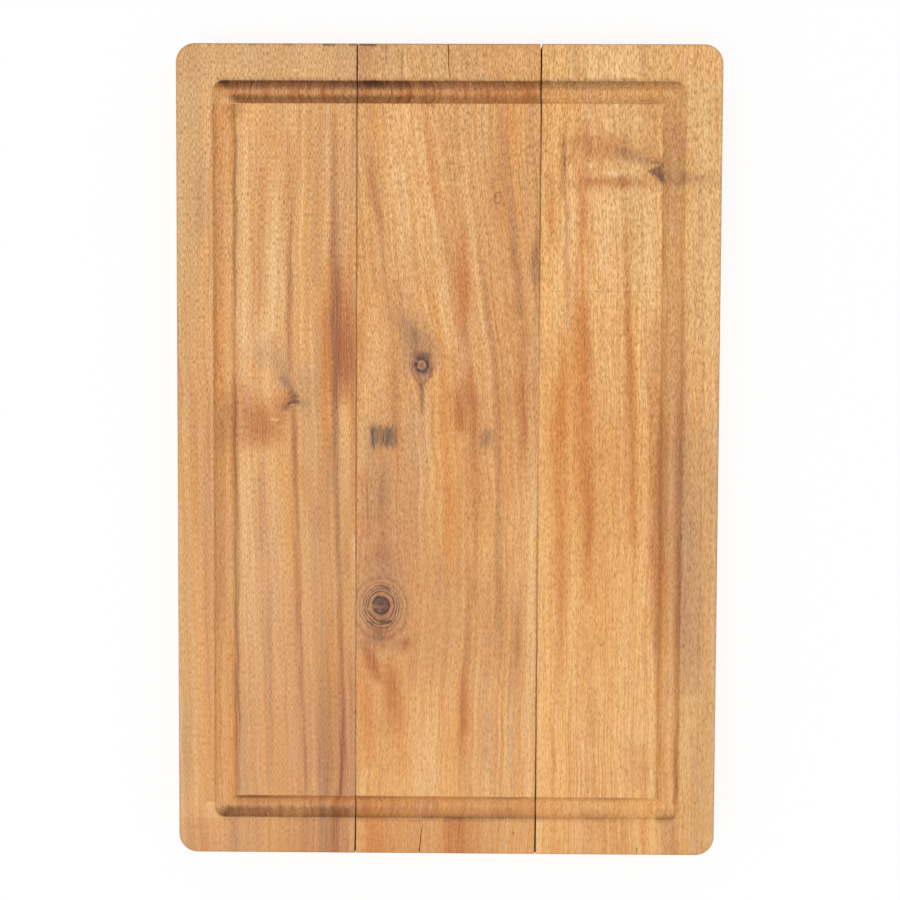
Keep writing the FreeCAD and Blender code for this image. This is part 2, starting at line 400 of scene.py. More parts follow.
def top_grid(name):
    """The x and y of a plank's grid. Each row is stretched to fit between the plank's two
    sides, and in the middle plank three columns are drawn together along the checks."""
    columns, (low, high) = COLUMNS[name], SIDES[name]
    y = np.repeat(ROWS[:, None], len(columns), 1)
    left, right = side_place(low, -1, ROWS), side_place(high, 1, ROWS)
    share = (columns - columns[0]) / (columns[-1] - columns[0])
    x = left[:, None] + share * (right - left)[:, None]
    if name == "plank_middle":
        middle = runs(ROWS, CHECK_PLACE) + CHECK_WANDER * wander(ROWS, 14.0, 9)
        nearest = np.abs(columns - np.mean(CHECK_PLACE, 0)[1]).argmin()
        pull = np.where(share < share[nearest], share / share[nearest],
                        (1 - share) / (1 - share[nearest]))
        x += pull * (middle - x[:, nearest])[:, None]
        half = np.maximum(runs(ROWS, CHECK_WIDTH) / 2, CLOSED_CHECK)
        x[:, nearest - 1], x[:, nearest + 1] = middle - half, middle + half
        return x, y, nearest
    return x, y, None


def top_height(x, y, check_column):
    """Height of the top face: the thickness less the rounded rim, the groove, the slow waves
    that sanding leaves, and the check's depth along its own column. The waves fade out towards
    the rim, and the groove wanders a little, as the cutter did."""
    away_from_rim = inset(x, y)
    waves = WAVE_HEIGHT * (1 + wander(y, 130.0, 5)) * (1 + wander(x, 40.0, 6)) / 2
    across = off_path(x, y) + CUTTER_WANDER * wander(x + 2 * y, 24.0, 7)
    z = THICKNESS - rim_drop(away_from_rim)
    z -= np.maximum(waves, 0) * np.clip(away_from_rim / WAVE_FADE, 0, 1)
    z -= groove_drop(across)
    if check_column is not None:
        z[:, check_column] -= runs(y[:, check_column], CHECK_DEPTH)
    return z


# %% A closed skin from the grid
# The walls have a ring of points at each of these shares of the way down.
WALL_LEVELS = (0.03, 0.06, 0.1, 0.2, 0.4, 0.7)
UNDER_STEP = 4
SHARP_ANGLE = 38.0


def plank_skin(name):
    """Points and faces of one plank: the top grid, then the rings of the walls, then the
    underside's own copy of the grid. Between the rims that copy keeps one row in four, and the
    faces at its two sides take in the points of the rows left out, so no seam is open."""
    x, y, check_column = top_grid(name)
    z = top_height(x, y, check_column)
    columns = COLUMNS[name]
    share = np.repeat((columns - columns[0])[None, :] / (columns[-1] - columns[0]), len(ROWS), 0)

    def at_depth(depth, x, y, share):
        """The x that points have lower down: a glued side comes back out as its gap closes,
        and each row is stretched along with it."""
        for kind, weight, sign in zip(SIDES[name], (1 - share, share), (-1, 1)):
            if kind != "outside":
                closed = gap_recess(kind, y, 0.0) - gap_recess(kind, y, depth)
                x = x + sign * weight * closed
        return x

    number = np.arange(x.size).reshape(x.shape)
    ring = np.concatenate([number[0, :-1], number[:-1, -1], number[-1, :0:-1], number[:0:-1, 0]])
    low_x = at_depth(THICKNESS, x, y, share)
    low_z = rim_drop(inset(low_x, y))
    levels = [np.stack([x, y, z], -1).reshape(-1, 3)]
    for fall in WALL_LEVELS:
        ring_z = z.flat[ring] + fall * (low_z.flat[ring] - z.flat[ring])
        ring_x = at_depth(THICKNESS - ring_z, x.flat[ring], y.flat[ring], share.flat[ring])
        levels.append(np.stack([ring_x, y.flat[ring], ring_z], -1))
    levels.append(np.stack([low_x, y, low_z], -1).reshape(-1, 3))
    points = np.concatenate(levels)

    def quads(block):
        """The four corners of each cell of a block of point numbers."""
        corners = (block[:-1, :-1], block[:-1, 1:], block[1:, 1:], block[1:, :-1])
        return np.stack([corner.ravel() for corner in corners], -1)

    under = number + x.size + len(WALL_LEVELS) * len(ring)
    rings = [ring] + [x.size + i * len(ring) + np.arange(len(ring))
                      for i in range(len(WALL_LEVELS))] + [under.flat[ring]]
    walls = np.stack([np.append(r, r[0]) for r in rings])[::-1]

    end_rows = int((np.abs(ROWS) > HALF_LENGTH - CORNER_RADIUS).sum() // 2)
    low, high = (len(RIM_INSETS) - 1 if kind == "outside" else 0 for kind in SIDES[name])
    last = len(columns) - 1 - high
    strips = [under[:end_rows + 1], under[-end_rows - 1:]]
    inner = under[end_rows:-end_rows]
    strips += [inner[:, :low + 1]] if low else []
    strips += [inner[:, last:]] if high else []
    rim_faces = np.concatenate([quads(strip) for strip in strips])[:, ::-1]
    core = inner[:, low:last + 1]
    kept = np.append(np.arange(0, len(core) - 1, UNDER_STEP), len(core) - 1)
    core_faces = quads(core[kept][:, 1:-1])[:, ::-1]
    side_faces = []
    for a, b in zip(kept[:-1], kept[1:]):
        side_faces.append(np.concatenate([core[a, :2], core[b, 1:2], core[b:a:-1, 0]])[::-1])
        side_faces.append(np.concatenate([core[a, -2:-1], core[a:b + 1, -1], core[b, -2:-1]])[::-1])

    faces = np.concatenate([quads(number), quads(walls), rim_faces, core_faces])
    used = np.zeros(len(points), bool)
    used[faces.ravel()] = True
    used[np.concatenate(side_faces)] = True
    new_number = np.cumsum(used) - 1
    return points[used], new_number[faces].tolist() + [new_number[f].tolist() for f in side_faces]


def make_plank(name):
    """One plank as an object in metres, smooth but for the edges that bend past SHARP_ANGLE."""
    points, faces = plank_skin(name)
    mesh = bpy.data.meshes.new(name + "_wood")
    mesh.from_pydata((points * MM).tolist(), [], faces)
    mesh.shade_smooth()
    mesh.set_sharp_from_angle(angle=math.radians(SHARP_ANGLE))
    plank = bpy.data.objects.new(name + "_wood", mesh)
    bpy.context.scene.collection.objects.link(plank)
    return plank


planks = {name: make_plank(name) for name in PLANKS}
for plank in planks.values():
    plank.data.calc_loop_triangles()
    print(plank.name, len(plank.data.loop_triangles), "triangles")

# %% [markdown]
# ## Where each point lies in the tree
#
# Wood is a pattern in three directions: long along the fibres, fine across them, and different
# at each depth. So each point carries its place in the tree, in millimetres: across the fibres,
# along them, and down. Fibres pass round a knot as water passes round a post, and that flow has
# a plain formula, so the knots bend the whole pattern near them.

# %% Place across the fibres
# A knot is (x, y, radius, how far it is drawn out along the grain), and a lean is (y, x).
KNOTS = {
    "plank_left": [(-113.5, 41.5, 4.0, 1.5)],
    "plank_middle": [(-19.4, 65.6, 7.0, 1.8), (-49.0, -112.5, 13.0, 1.4)],
    "plank_right": [(154.0, 206.5, 5.0, 1.3)],
}
LEAN = {
    "plank_left": [(-300, 9), (-100, 4), (40, 0), (120, -3), (300, 1)],
    "plank_middle": [(-300, -4), (-100, 0), (20, 0), (80, -6), (150, -14), (220, -21), (300, -27)],
    "plank_right": [(-300, 4), (0, 3), (150, 0), (300, -3)],
}
LEAN_EASE = 30.0
GRAIN_WANDER = 0.8


def eased(y, places, width=12.0):
    """Straight runs with their corners eased, by the mean of the runs at five places nearby."""
    return sum(runs(y + shift * width, places) for shift in (-1, -0.5, 0, 0.5, 1)) / 5


def across_fibres(name, x, y):
    """The place across the fibres. Round a post of radius a, water keeps the value
    dx * (1 - a^2 / r^2) along each of its lines. Here r^2 + a^2 stands for r^2, so that the
    value stays smooth at the middle, and r is measured in a circle drawn out along the grain."""
    u = x - eased(y, LEAN[name], LEAN_EASE) + GRAIN_WANDER * wander(y + x / 3, 90.0, 11)
    for knot_x, knot_y, radius, draw in KNOTS[name]:
        dx, dy = x - knot_x, (y - knot_y) / draw
        u -= dx * radius ** 2 / (dx ** 2 + dy ** 2 + radius ** 2)
    return u


print("knots:", {name: len(knots) for name, knots in KNOTS.items()})

# %% [markdown]
# ## The figure, stroke by stroke
#
# Each plank has its own figure: dark heart streaks, bands of red, orange and gold, cool greyish
# ones, and pale and straw-coloured ones. Noise can't put them in the right places, so they are
# painted, as a grainer paints wood: each stroke is a few places along the plank, with its
# middle, its half width and its strength there. The strokes of one kind become one value at each
# point of the mesh, and the finish turns that value into colour.
# A few strokes along the groove's lips are painted shade, as the comments at them say.

# %% Strokes as (y, x, half width, strength), from the front to the back
FIGURE = {
    "plank_left": {
        "heart": [
            [(-300, -76, 5, 0.3), (-230, -76, 4, 0.25), (-190, -76, 3, 0)],
            [(-300, -83, 3, 0.75), (-275, -83, 3.5, 0.8), (-250, -79, 2.5, 0.6), (-230, -77, 2.5, 0.8),
             (-200, -77, 2.2, 0.55), (-150, -78.5, 2, 0.4), (-110, -80, 2, 0.35),
             (-80, -81, 2.2, 0.4), (-20, -82.5, 2.5, 0.5), (30, -83, 3, 0.7), (60, -83, 4, 0.85),
             (100, -83, 4.5, 0.85), (130, -83, 4, 0.65), (160, -83.5, 3.5, 0.5),
             (190, -84, 3, 0.3), (250, -84.5, 3, 0.25)],
            [(50, -72, 2.5, 0), (62, -72.5, 3.5, 0.45), (80, -73, 3.5, 0.5), (95, -73, 3.5, 0.25),
             (125, -73, 3, 0)],
            [(-300, -105, 2, 0.1), (-250, -105, 1.8, 0.25), (-225, -105.5, 1.8, 0.45),
             (-180, -107.5, 1.8, 0.45), (-127, -109.5, 2, 0.6), (-60, -111, 2, 0.45),
             (-20, -112.3, 1.8, 0.65), (10, -113.3, 2, 0.85), (27, -113.5, 1.8, 0.6),
             (36, -114, 1.5, 0.4)],
            [(60, -116.5, 1.5, 0.3), (85, -117, 1.8, 0.5), (125, -117, 2, 0.65),
             (160, -116.5, 1.8, 0.45), (200, -114.5, 1.8, 0.1), (230, -113.5, 1.8, 0)],
            # Along the groove's inner lip: a dark streak beside it, and painted shade on the lip itself.
            [(-256, -155.5, 1.8, 0.5), (-228, -155.5, 2, 0.55), (-175, -155.8, 2.2, 0.75),
             (-125, -156, 1.8, 0.5), (-60, -156, 2.2, 0.5), (0, -156.5, 2.8, 0.6),
             (40, -156.5, 2.8, 0.55), (60, -157, 1.5, 0.2), (100, -157.3, 1.2, 0.25),
             (130, -156.8, 1.5, 0.5), (175, -156.5, 1.8, 0.6), (228, -156.5, 1.8, 0.5),
             (256, -157, 1.5, 0.4)],
            [(-150, -166.5, 3.5, 0), (-100, -166.5, 3.5, 0.28), (-60, -166.5, 3.5, 0.22),
             (10, -166.5, 3.5, 0.3), (40, -166.5, 3.5, 0)],
            [(0, -165, 8, 0.1), (15, -165, 8, 0.3), (35, -164, 7, 0.3), (50, -164, 6, 0)],
            [(-258, -84, 13, 0.2), (-235, -86, 15, 0.35), (-180, -87, 15, 0.3), (-130, -86, 14, 0.15),
             (-100, -85, 12, 0)],
            [(-300, -95, 24, 0.25), (-274, -93, 22, 0.2)],
            [(36, -114, 3, 0), (40, -113.5, 4, 0.3), (46, -114, 3, 0.2), (52, -115, 3, 0)],
            [(-275, -70.5, 3, 0.1), (-230, -70.5, 3, 0.1), (-175, -71, 3, 0.1), (-150, -71, 3, 0)],
            [(238, -156, 6, 0), (248, -156, 7, 0.35), (256, -157, 8, 0.5)],
        ],
        "grey": [
            [(-125, -98.5, 3.5, 0), (-100, -98.5, 3.5, 0.25), (-50, -97.5, 3.5, 0.3), (-30, -97, 3, 0)],
            [(-150, -126, 2, 0), (-120, -126, 2, 0.2), (-10, -126, 2, 0.2), (10, -126, 2, 0)],
            [(28, -96, 3, 0), (45, -96, 3, 0.35), (90, -96, 3, 0.35), (112, -96, 3, 0)],
            [(-260, -195, 4, 0.1), (-232, -194, 4, 0.35), (-195, -194, 4, 0.1), (-180, -194, 4, 0)],
            [(276, -80, 8, 0.15), (300, -80, 8, 0.25)],
            [(-300, -91, 4, 0.9), (-270, -91.5, 4, 0.85), (-225, -91.5, 4, 0.65),
             (-160, -92, 3, 0.4), (-110, -92.5, 2, 0.35), (-60, -94, 1.6, 0.3),
             (20, -96, 1.8, 0.45), (60, -97, 1.5, 0.15), (75, -97, 1.5, 0)],
            [(-250, -131, 3, 0.25), (-180, -132, 3, 0.4), (-140, -133, 3, 0.55), (-110, -133, 3, 0.3),
             (-90, -133, 3, 0)],
            [(140, -85, 3, 0.1), (180, -85, 3.5, 0.3), (256, -86, 3.5, 0.2)],
            [(-300, -158, 4, 0.5), (-274, -158, 4, 0.5)],
            [(44, -114, 6, 0.1), (52, -118, 7, 0.6), (62, -123, 7, 0.6), (74, -126, 8, 0.3),
             (90, -128, 8, 0)],
            [(90, -98, 6, 0), (130, -98, 7, 0.3), (215, -98, 7, 0.3), (262, -98, 7, 0.1)],
            [(-150, -85, 13, 0), (-120, -85, 13, 0.15), (-80, -85, 13, 0.3), (-20, -86, 13, 0.32),
             (10, -87, 12, 0.2), (30, -88, 10, 0)],
            [(60, -137, 6, 0), (72, -137, 6, 0.35), (84, -137, 6, 0)],
            [(-256, -151, 4, 0.3), (-200, -151, 4, 0.35), (-170, -151, 4, 0)],
            [(150, -182, 4, 0), (170, -182, 4.5, 0.4), (195, -182, 5, 0.4), (230, -181, 4, 0)],
            [(20, -104, 8, 0), (36, -104, 9, 0.3), (55, -104, 9, 0.35), (80, -104, 8, 0)],
            [(-150, -98, 5, 0.1), (0, -102, 5, 0.25), (36, -104, 5, 0.2), (60, -104, 5, 0)],
            [(274, -130, 75, 0.1), (300, -130, 75, 0.2)],
            [(-300, -190, 9, 0.1), (-150, -192, 7, 0.2), (0, -192, 6, 0.15), (150, -188, 9, 0.15),
             (230, -188, 11, 0.15), (300, -188, 12, 0.15)],
            [(-90, -138, 3, 0), (-70, -138, 3, 0.4), (-20, -138, 3, 0.45), (0, -138, 3, 0.1)],
        ],
        "red": [
            [(20, -118, 6, 0), (34, -118, 7, 0.3), (46, -118, 7, 0.3), (58, -118, 6, 0)],
            [(-64, -96, 7, 0), (-50, -96, 8, 0.25), (-36, -98, 8, 0.2), (-15, -111, 8, 0.25),
             (0, -111, 7, 0)],
            [(-230, -78, 6, 0), (-200, -78, 7, 0.2), (-110, -78, 7, 0.2), (-95, -78, 6, 0)],
            [(-300, -186, 10, 0.25), (-280, -186, 10, 0.22), (-262, -186, 8, 0)],
            [(28, -126, 7, 0), (38, -126, 7, 0.28), (48, -126, 6, 0)],
            [(-35, -86, 2.5, 0), (-15, -86, 2.5, 0.3), (12, -86, 2.5, 0.35), (25, -86, 2.5, 0)],
            [(25, -73, 4.5, 0), (45, -73, 4.5, 0.3), (72, -72, 4.5, 0.3), (85, -72, 4, 0)],
            [(36, -79, 8, 0.15), (56, -78, 10, 0.65), (80, -78, 10.5, 0.85), (105, -78, 10, 0.7),
             (130, -78, 9.5, 0.4), (150, -78, 9, 0.12), (170, -78, 8, 0.05), (250, -78, 8, 0)],
            [(0, -137, 15, 0), (6, -137, 17, 0.4), (15, -137, 18, 0.75), (30, -138, 18, 0.7),
             (38, -146, 12, 0.4), (50, -153, 6, 0.25), (58, -155, 4, 0)],
            [(-260, -70, 3, 0.2), (-200, -70.5, 3, 0.25), (-165, -71, 3, 0.3), (-145, -72, 3, 0)],
            [(-300, -130, 75, 0.3), (-274, -130, 75, 0.25)],
            [(-262, -177, 4, 0.3), (-110, -177.5, 4, 0.4), (10, -177.5, 4, 0.42), (60, -177.5, 4, 0.1),
             (90, -177.5, 4, 0)],
            [(32, -121, 6, 0), (38, -121, 6, 0.4), (46, -120, 5, 0)],
            [(-125, -76, 4, 0), (-85, -76, 4, 0.3), (-45, -76, 4, 0)],
            [(-262, -112, 44, 0.25), (-200, -112, 44, 0.22), (-130, -110, 42, 0.12), (-60, -108, 40, 0)],
            [(95, -139, 3, 0), (115, -139.5, 4, 0.2), (160, -139, 4, 0.22), (215, -137, 3, 0.08),
             (240, -136, 3, 0)],
            [(165, -114.5, 2, 0), (200, -114.5, 2, 0.15), (235, -113, 2, 0)],
            # Painted shade: a thin dark line along the groove's outer lip.
            [(-250, -173, 1.2, 0.2), (-150, -172.5, 1.4, 0.2), (0, -171.5, 1.8, 0.3),
             (140, -171.5, 1.8, 0.28), (256, -172, 1.8, 0.45)],
        ],
        "orange": [
            [(-300, -93, 7, 0.35), (-274, -93, 7, 0.3)],
            [(-100, -74, 3, 0), (-80, -74, 3, 0.35), (-40, -74, 3, 0.3), (-25, -74, 3, 0)],
            [(-80, -89, 2.5, 0.2), (0, -90, 3, 0.5), (60, -90.5, 3.5, 0.85), (100, -90, 3, 0.8),
             (130, -90, 2.5, 0.4), (150, -90, 2, 0)],
            [(-60, -70, 1.8, 0.5), (0, -70, 2, 0.6), (50, -70, 2, 0.6), (105, -69.5, 2, 0.4)],
            [(-260, -165, 6, 0.15), (-130, -165, 6, 0.1), (-60, -165, 6, 0.1), (0, -166, 6, 0.05),
             (100, -165, 6, 0.1), (200, -166, 6, 0.15), (256, -165, 6, 0.2)],
            [(-60, -186, 5, 0.2), (0, -187, 5, 0.3), (40, -187, 5, 0.2), (60, -187, 5, 0)],
            [(-60, -134, 8, 0.1), (40, -134, 8, 0.1)],
        ],
        "gold": [
            [(-120, -75, 3, 0.2), (-85, -76, 3.5, 0.3), (-30, -76, 3.5, 0.5), (30, -76, 3.5, 0.7),
             (45, -76, 3, 0.3), (52, -76, 3, 0)],
            [(225, -148, 12, 0), (245, -146, 14, 0.5), (256, -145, 14, 0.6)],
            [(-150, -73, 3, 0), (-130, -73, 3, 0.4), (-110, -73, 3, 0.3), (-90, -74, 3, 0)],
        ],
        "pale": [
            [(205, -136, 2.5, 0), (220, -136, 2.5, 0.35), (235, -136, 2.5, 0)],
            [(225, -116, 3, 0), (245, -116, 3, 0.4), (258, -116, 3, 0.3)],
            [(-160, -148, 5, 0), (-120, -149, 5, 0.15), (-60, -150, 4, 0.3), (-20, -150.5, 3.5, 0.4),
             (0, -151, 3, 0.2), (5, -151, 3, 0)],
            [(80, -150, 3, 0.5), (160, -149, 3, 0.4), (250, -148, 3, 0.15)],
            [(85, -122, 3, 0), (110, -122, 3, 0.25), (165, -121, 3, 0.25), (185, -121, 3, 0)],
            [(90, -130, 3, 0.5), (150, -128, 3, 0.7), (180, -128, 3, 0.5), (210, -127, 3, 0.2),
             (240, -126, 3, 0)],
            [(66, -139, 9, 0), (82, -137, 11, 0.2), (95, -135, 8, 0.15), (110, -135, 8, 0)],
            [(276, -100, 20, 0.1), (300, -100, 20, 0.15)],
        ],
        "straw": [
            [(232, -123, 9, 0), (245, -123, 9, 0.3), (262, -123, 9, 0.3)],
            [(272, -130, 75, 0.45), (300, -130, 75, 0.55)],
            [(60, -190, 12, 0), (150, -192, 9, 0.5), (272, -191, 13, 0.7)],
            [(80, -197, 4, 0), (130, -197, 5, 0.5), (220, -197, 5, 0.5), (240, -197, 5, 0)],
            [(-300, -196, 8, 0.3), (-100, -196, 8, 0.3), (0, -196, 8, 0)],
        ],
    },
    "plank_middle": {
        "heart": [
            [(-62, -51, 4.5, 0), (-45, -50, 4.5, 0.22), (-25, -48, 5, 0.28), (-12, -48, 4, 0.1),
             (-2, -48, 4, 0)],
            [(100, 53, 3, 0.3), (130, 51, 3, 0.4), (150, 48.5, 3.5, 0.5), (175, 46, 3, 0.3),
             (200, 43.5, 3, 0.25), (235, 39.5, 3, 0.22), (256, 38, 3, 0.1)],
            [(-165, 37, 3, 0), (-140, 38, 4, 0.25), (-110, 38, 2.8, 0.4), (-60, 37.5, 2, 0.4),
             (-20, 38, 2, 0.4), (10, 37, 3, 0.35), (45, 36, 3.5, 0.3), (75, 33, 2.5, 0.3),
             (110, 28, 2.5, 0.35), (150, 23, 2, 0.25), (200, 17, 1.8, 0.15), (245, 13, 1.5, 0.15)],
            [(-165, 52, 3, 0), (-145, 52.5, 3, 0.45), (-120, 53.5, 2.5, 0.4), (-90, 54, 2, 0)],
            [(30, -18.2, 0.5, 0), (38, -18.4, 0.9, 0.4), (46, -18.8, 1.3, 0.6),
             (52, -19, 2.2, 0.6), (57, -19.3, 4.0, 0.6), (62, -19.5, 6.5, 0.5), (66, -19.5, 8, 0.3),
             (72, -19, 8, 0.45), (78, -20, 7, 0.35), (86, -24, 6, 0.3), (96, -28, 6, 0.15),
             (106, -32, 6, 0)],
            [(-142, -50, 6, 0), (-137, -50, 8, 0.4), (-129, -49, 9, 0.7), (-124, -49, 9, 0)],
            [(-148, -50, 8, 0), (-140, -50, 9, 0.35), (-130, -50, 9, 0.65), (-121, -49, 8, 0.5),
             (-112, -49, 7, 0)],
            [(-62, -58, 1.2, 0), (-40, -59, 1.4, 0.3), (-15, -60, 1.2, 0.25), (0, -61, 1.2, 0)],
            [(118, 64, 2, 0), (130, 64, 3, 0.4), (150, 64.5, 3, 0.5), (165, 66, 2, 0)],
            [(0, 65, 1.6, 0.1), (60, 64.5, 2.0, 0.3), (105, 64, 2.0, 0.3), (170, 65, 1.8, 0.3),
             (230, 63, 1.6, 0.2)],
        ],
        "grey": [
            [(-248, 31, 3, 0), (-228, 31, 3, 0.28), (-198, 31, 3, 0.3), (-182, 31, 3, 0)],
            [(-120, -8, 7, 0), (-80, -8, 7, 0.2), (-45, -8, 7, 0.2), (-20, -8, 7, 0)],
            [(0, -39, 4, 0), (25, -39, 4, 0.25), (60, -39, 4, 0.2), (80, -39, 4, 0)],
            [(-60, -50, 6, 0), (-45, -48, 6, 0.3), (-30, -47, 6.5, 0.55), (-15, -47, 6, 0.35),
             (-5, -46, 6, 0.2), (5, -46, 6, 0)],
            [(50, -30, 6, 0), (66, -30, 8, 0.4), (82, -29, 9, 0.6), (95, -31, 8, 0.45),
             (110, -36, 6, 0.3), (140, -43, 4, 0)],
            [(58, -9, 4, 0), (68, -9, 5, 0.35), (80, -12, 6, 0.5), (95, -16, 6, 0.3), (108, -18, 5, 0)],
            [(276, -52, 8, 0.1), (290, -50, 8, 0.25), (300, -48, 9, 0.35)],
            [(118, 63, 3, 0), (128, 63, 4, 0.45), (145, 63.5, 4, 0.55), (158, 65, 3, 0.45),
             (168, 66, 2, 0)],
            [(170, 58, 2.5, 0.2), (230, 58, 3, 0.3), (256, 60, 3, 0.3)],
            [(-240, 28, 3, 0.05), (-150, 30, 3, 0.2), (-80, 29, 3, 0.1)],
            [(-250, 50, 3, 0.2), (-200, 50, 3, 0.2), (-150, 51, 3, 0.1), (-130, 51, 3, 0)],
            [(-155, -50, 16, 0), (-140, -50, 17, 0.4), (-120, -49, 19, 0.65), (-100, -49, 18, 0.65),
             (-80, -49, 15, 0.55), (-60, -49, 12, 0.3), (-45, -49, 9, 0)],
            [(-100, -22, 8, 0.1), (-60, -25, 9, 0.3), (0, -24, 9, 0.25), (40, -24, 8, 0.2),
             (55, -24, 6, 0)],
            [(200, -68, 3, 0), (300, -66, 3, 0.4)],
            [(276, 0, 62, 0.1), (300, 0, 62, 0.15)],
            [(274, -62, 6, 0.35), (300, -62, 7, 0.45)],
            [(-185, -5, 24, 0), (-145, -3, 25, 0.28), (-100, 0, 24, 0.28), (-70, 2, 20, 0)],
            [(88, -42, 4, 0), (100, -42, 5, 0.3), (112, -44, 4, 0)],
            [(-75, -58, 7, 0), (-50, -58, 7, 0.35), (-15, -56, 7, 0.35), (20, -57, 6, 0.35),
             (30, -57, 6, 0)],
        ],
        "red": [
            [(-5, 56, 4, 0), (10, 55, 5, 0.16), (50, 54, 5.5, 0.22), (80, 54, 5, 0.2),
             (96, 54, 4, 0)],
            [(160, 36, 6, 0), (180, 36, 7, 0.22), (200, 35, 7, 0.22), (220, 34, 6, 0)],
            [(78, 46, 6, 0), (95, 46, 7, 0.22), (110, 46, 7, 0.2), (126, 45, 6, 0)],
            [(-190, 51, 6, 0), (-170, 51, 7, 0.25), (-110, 46, 7, 0.25), (-92, 46, 6, 0)],
            [(-100, -62, 5, 0), (-80, -62, 5, 0.3), (-45, -62, 5, 0.35), (-30, -62, 4, 0)],
            [(-190, -26, 5, 0), (-165, -26, 5, 0.28), (-135, -26, 5, 0.25), (-120, -26, 5, 0)],
            [(-158, 16, 3, 0), (-135, 16, 3, 0.28), (-80, 16, 3, 0.25), (-62, 16, 3, 0)],
            [(-120, -4, 3, 0), (-90, -4, 3, 0.3), (-70, -4, 3, 0.2), (-58, -4, 3, 0)],
            [(58, 3, 6, 0), (68, 3, 6, 0.25), (82, 3, 6, 0)],
            [(75, 10, 2, 0.1), (100, 8, 3.5, 0.3), (125, 5.5, 5, 0.45), (150, 0.5, 5, 0.4),
             (175, -5, 5, 0.35), (200, -10, 5, 0.3), (235, -15.5, 4.5, 0.25), (250, -18, 4, 0.1)],
            [(86, 12, 3, 0.2), (105, 12, 5, 0.3), (125, 12, 5, 0.5), (145, 11, 3.8, 0.35),
             (158, 10.5, 3, 0.2), (190, 6.5, 2.5, 0.15), (220, 2.5, 2, 0.2), (245, 0, 2, 0.25)],
            [(14, 18, 4, 0), (22, 18.5, 4, 0.5), (40, 17.5, 4.5, 0.9), (55, 15.5, 4, 0.75),
             (65, 14.5, 3.5, 0.45), (85, 12.5, 2.5, 0.45), (98, 10, 2.5, 0.4)],
            [(12, 11, 4, 0), (20, 9, 4, 0.7), (32, 8, 5, 0.9), (42, 9, 5, 0.55), (60, 10, 4, 0)],
            [(-110, 20, 1.5, 0.3), (-70, 21, 1.5, 0.2), (-30, 19.5, 2, 0.25), (0, 18.5, 2.5, 0.35),
             (20, 18, 3, 0.35)],
            [(-256, 9, 2.5, 0.1), (-235, 10.5, 3, 0.2), (-205, 12, 4, 0.7), (-180, 12.5, 4, 0.75),
             (-155, 14, 3, 0.6), (-125, 17, 2.5, 0.45), (-100, 17, 2, 0.4), (-80, 17, 2, 0.1)],
            [(-173, -49, 4, 0.1), (-165, -52, 5, 0.7), (-155, -57, 5, 1.0), (-146, -60, 6, 0.85),
             (-138, -62, 5, 0.3)],
            [(-210, -38, 8, 0.1), (-185, -39, 8, 0.5), (-172, -41, 7, 0.65), (-160, -43, 5, 0.35),
             (-153, -44, 4, 0)],
            [(-150, -37, 4, 0), (-145, -34, 8, 0.6), (-140, -30, 7, 0.9), (-135, -26, 4, 0)],
            [(-84, -50, 5, 0), (-77, -50, 6.5, 0.8), (-70, -49, 6, 0.6), (-58, -48, 4, 0.15),
             (-52, -48, 4, 0)],
            [(-20, -36.5, 1.2, 0.2), (20, -38, 1.5, 0.35), (50, -39, 1.5, 0.35), (70, -40, 1.5, 0)],
            [(-300, 10, 5, 0.7), (-272, 9, 5, 0.65)],
            [(-300, 1, 3, 0.55), (-272, 1, 3, 0.45)],
            [(276, 30, 30, 0.1), (300, 30, 30, 0.15)],
            [(-300, 0, 68, 0.2), (-274, 0, 68, 0.15)],
            [(-300, -12, 42, 0.25), (-274, -12, 42, 0.2)],
            [(-175, -40, 26, 0), (-130, -38, 28, 0.25), (-70, -42, 24, 0.3), (-30, -47, 17, 0.3),
             (10, -47, 16, 0.25), (45, -44, 15, 0.2), (85, -38, 15, 0.12), (130, -40, 15, 0)],
            [(-75, 18, 8, 0), (-45, 18, 9, 0.2), (-15, 18, 9, 0.35), (15, 20, 10, 0.35), (40, 22, 9, 0.25),
             (55, 22, 8, 0)],
            [(-190, 34, 8, 0), (-160, 34, 9, 0.2), (-100, 34, 9, 0.2), (-80, 46, 9, 0.2), (-60, 46, 9, 0)],
            [(20, 47, 7, 0), (40, 48, 7, 0.25), (60, 47, 6, 0)],
            [(-108, -50, 15, 0), (-95, -49, 16, 0.3), (-84, -49, 14, 0.35), (-60, -48, 10, 0)],
            [(-60, 30, 25, 0.08), (0, 45, 14, 0.15), (60, 45, 14, 0.15), (100, 40, 20, 0.12),
             (256, 45, 14, 0.15)],
            [(150, -47, 3, 0.1), (165, -49.5, 3, 0.3), (182, -53, 3.2, 0.55), (200, -56, 3, 0.65),
             (215, -58.5, 3, 0.35), (240, -61, 3, 0)],
            [(-15, 56, 2.5, 0), (5, 56, 3, 0.35), (25, 57, 3, 0.55), (70, 56, 3, 0.5),
             (95, 55, 3, 0.25), (125, 54, 2, 0)],
        ],
        "orange": [
            [(-300, 21, 6, 0.4), (-274, 21, 6, 0.35)],
            [(-300, -42, 5, 0.35), (-274, -42, 5, 0.3)],
            [(-218, -48, 4, 0), (-200, -48, 4, 0.3), (-186, -48, 4, 0)],
            [(88, 12, 4, 0), (105, 12, 5, 0.4), (140, 12, 5, 0.55), (165, 11, 4, 0.1)],
            [(15, -65, 2, 0.1), (50, -65, 2.5, 0.4), (85, -64, 3.5, 0.7), (105, -63.5, 3, 0.5),
             (125, -62, 2, 0)],
            [(-60, 2, 6, 0.1), (-30, 2, 6, 0.45), (0, 0, 9, 0.3), (20, 2, 12, 0.5),
             (45, 2, 10, 0.5), (65, 4, 6, 0.1)],
            [(-240, -33, 6, 0.25), (-200, -37, 7, 0.5), (-165, -42, 8, 0.5), (-150, -42, 5, 0.1)],
            [(-235, -56, 6, 0.3), (-190, -60, 7, 0.65), (-165, -63, 6, 0.5), (-150, -64, 4, 0.2)],
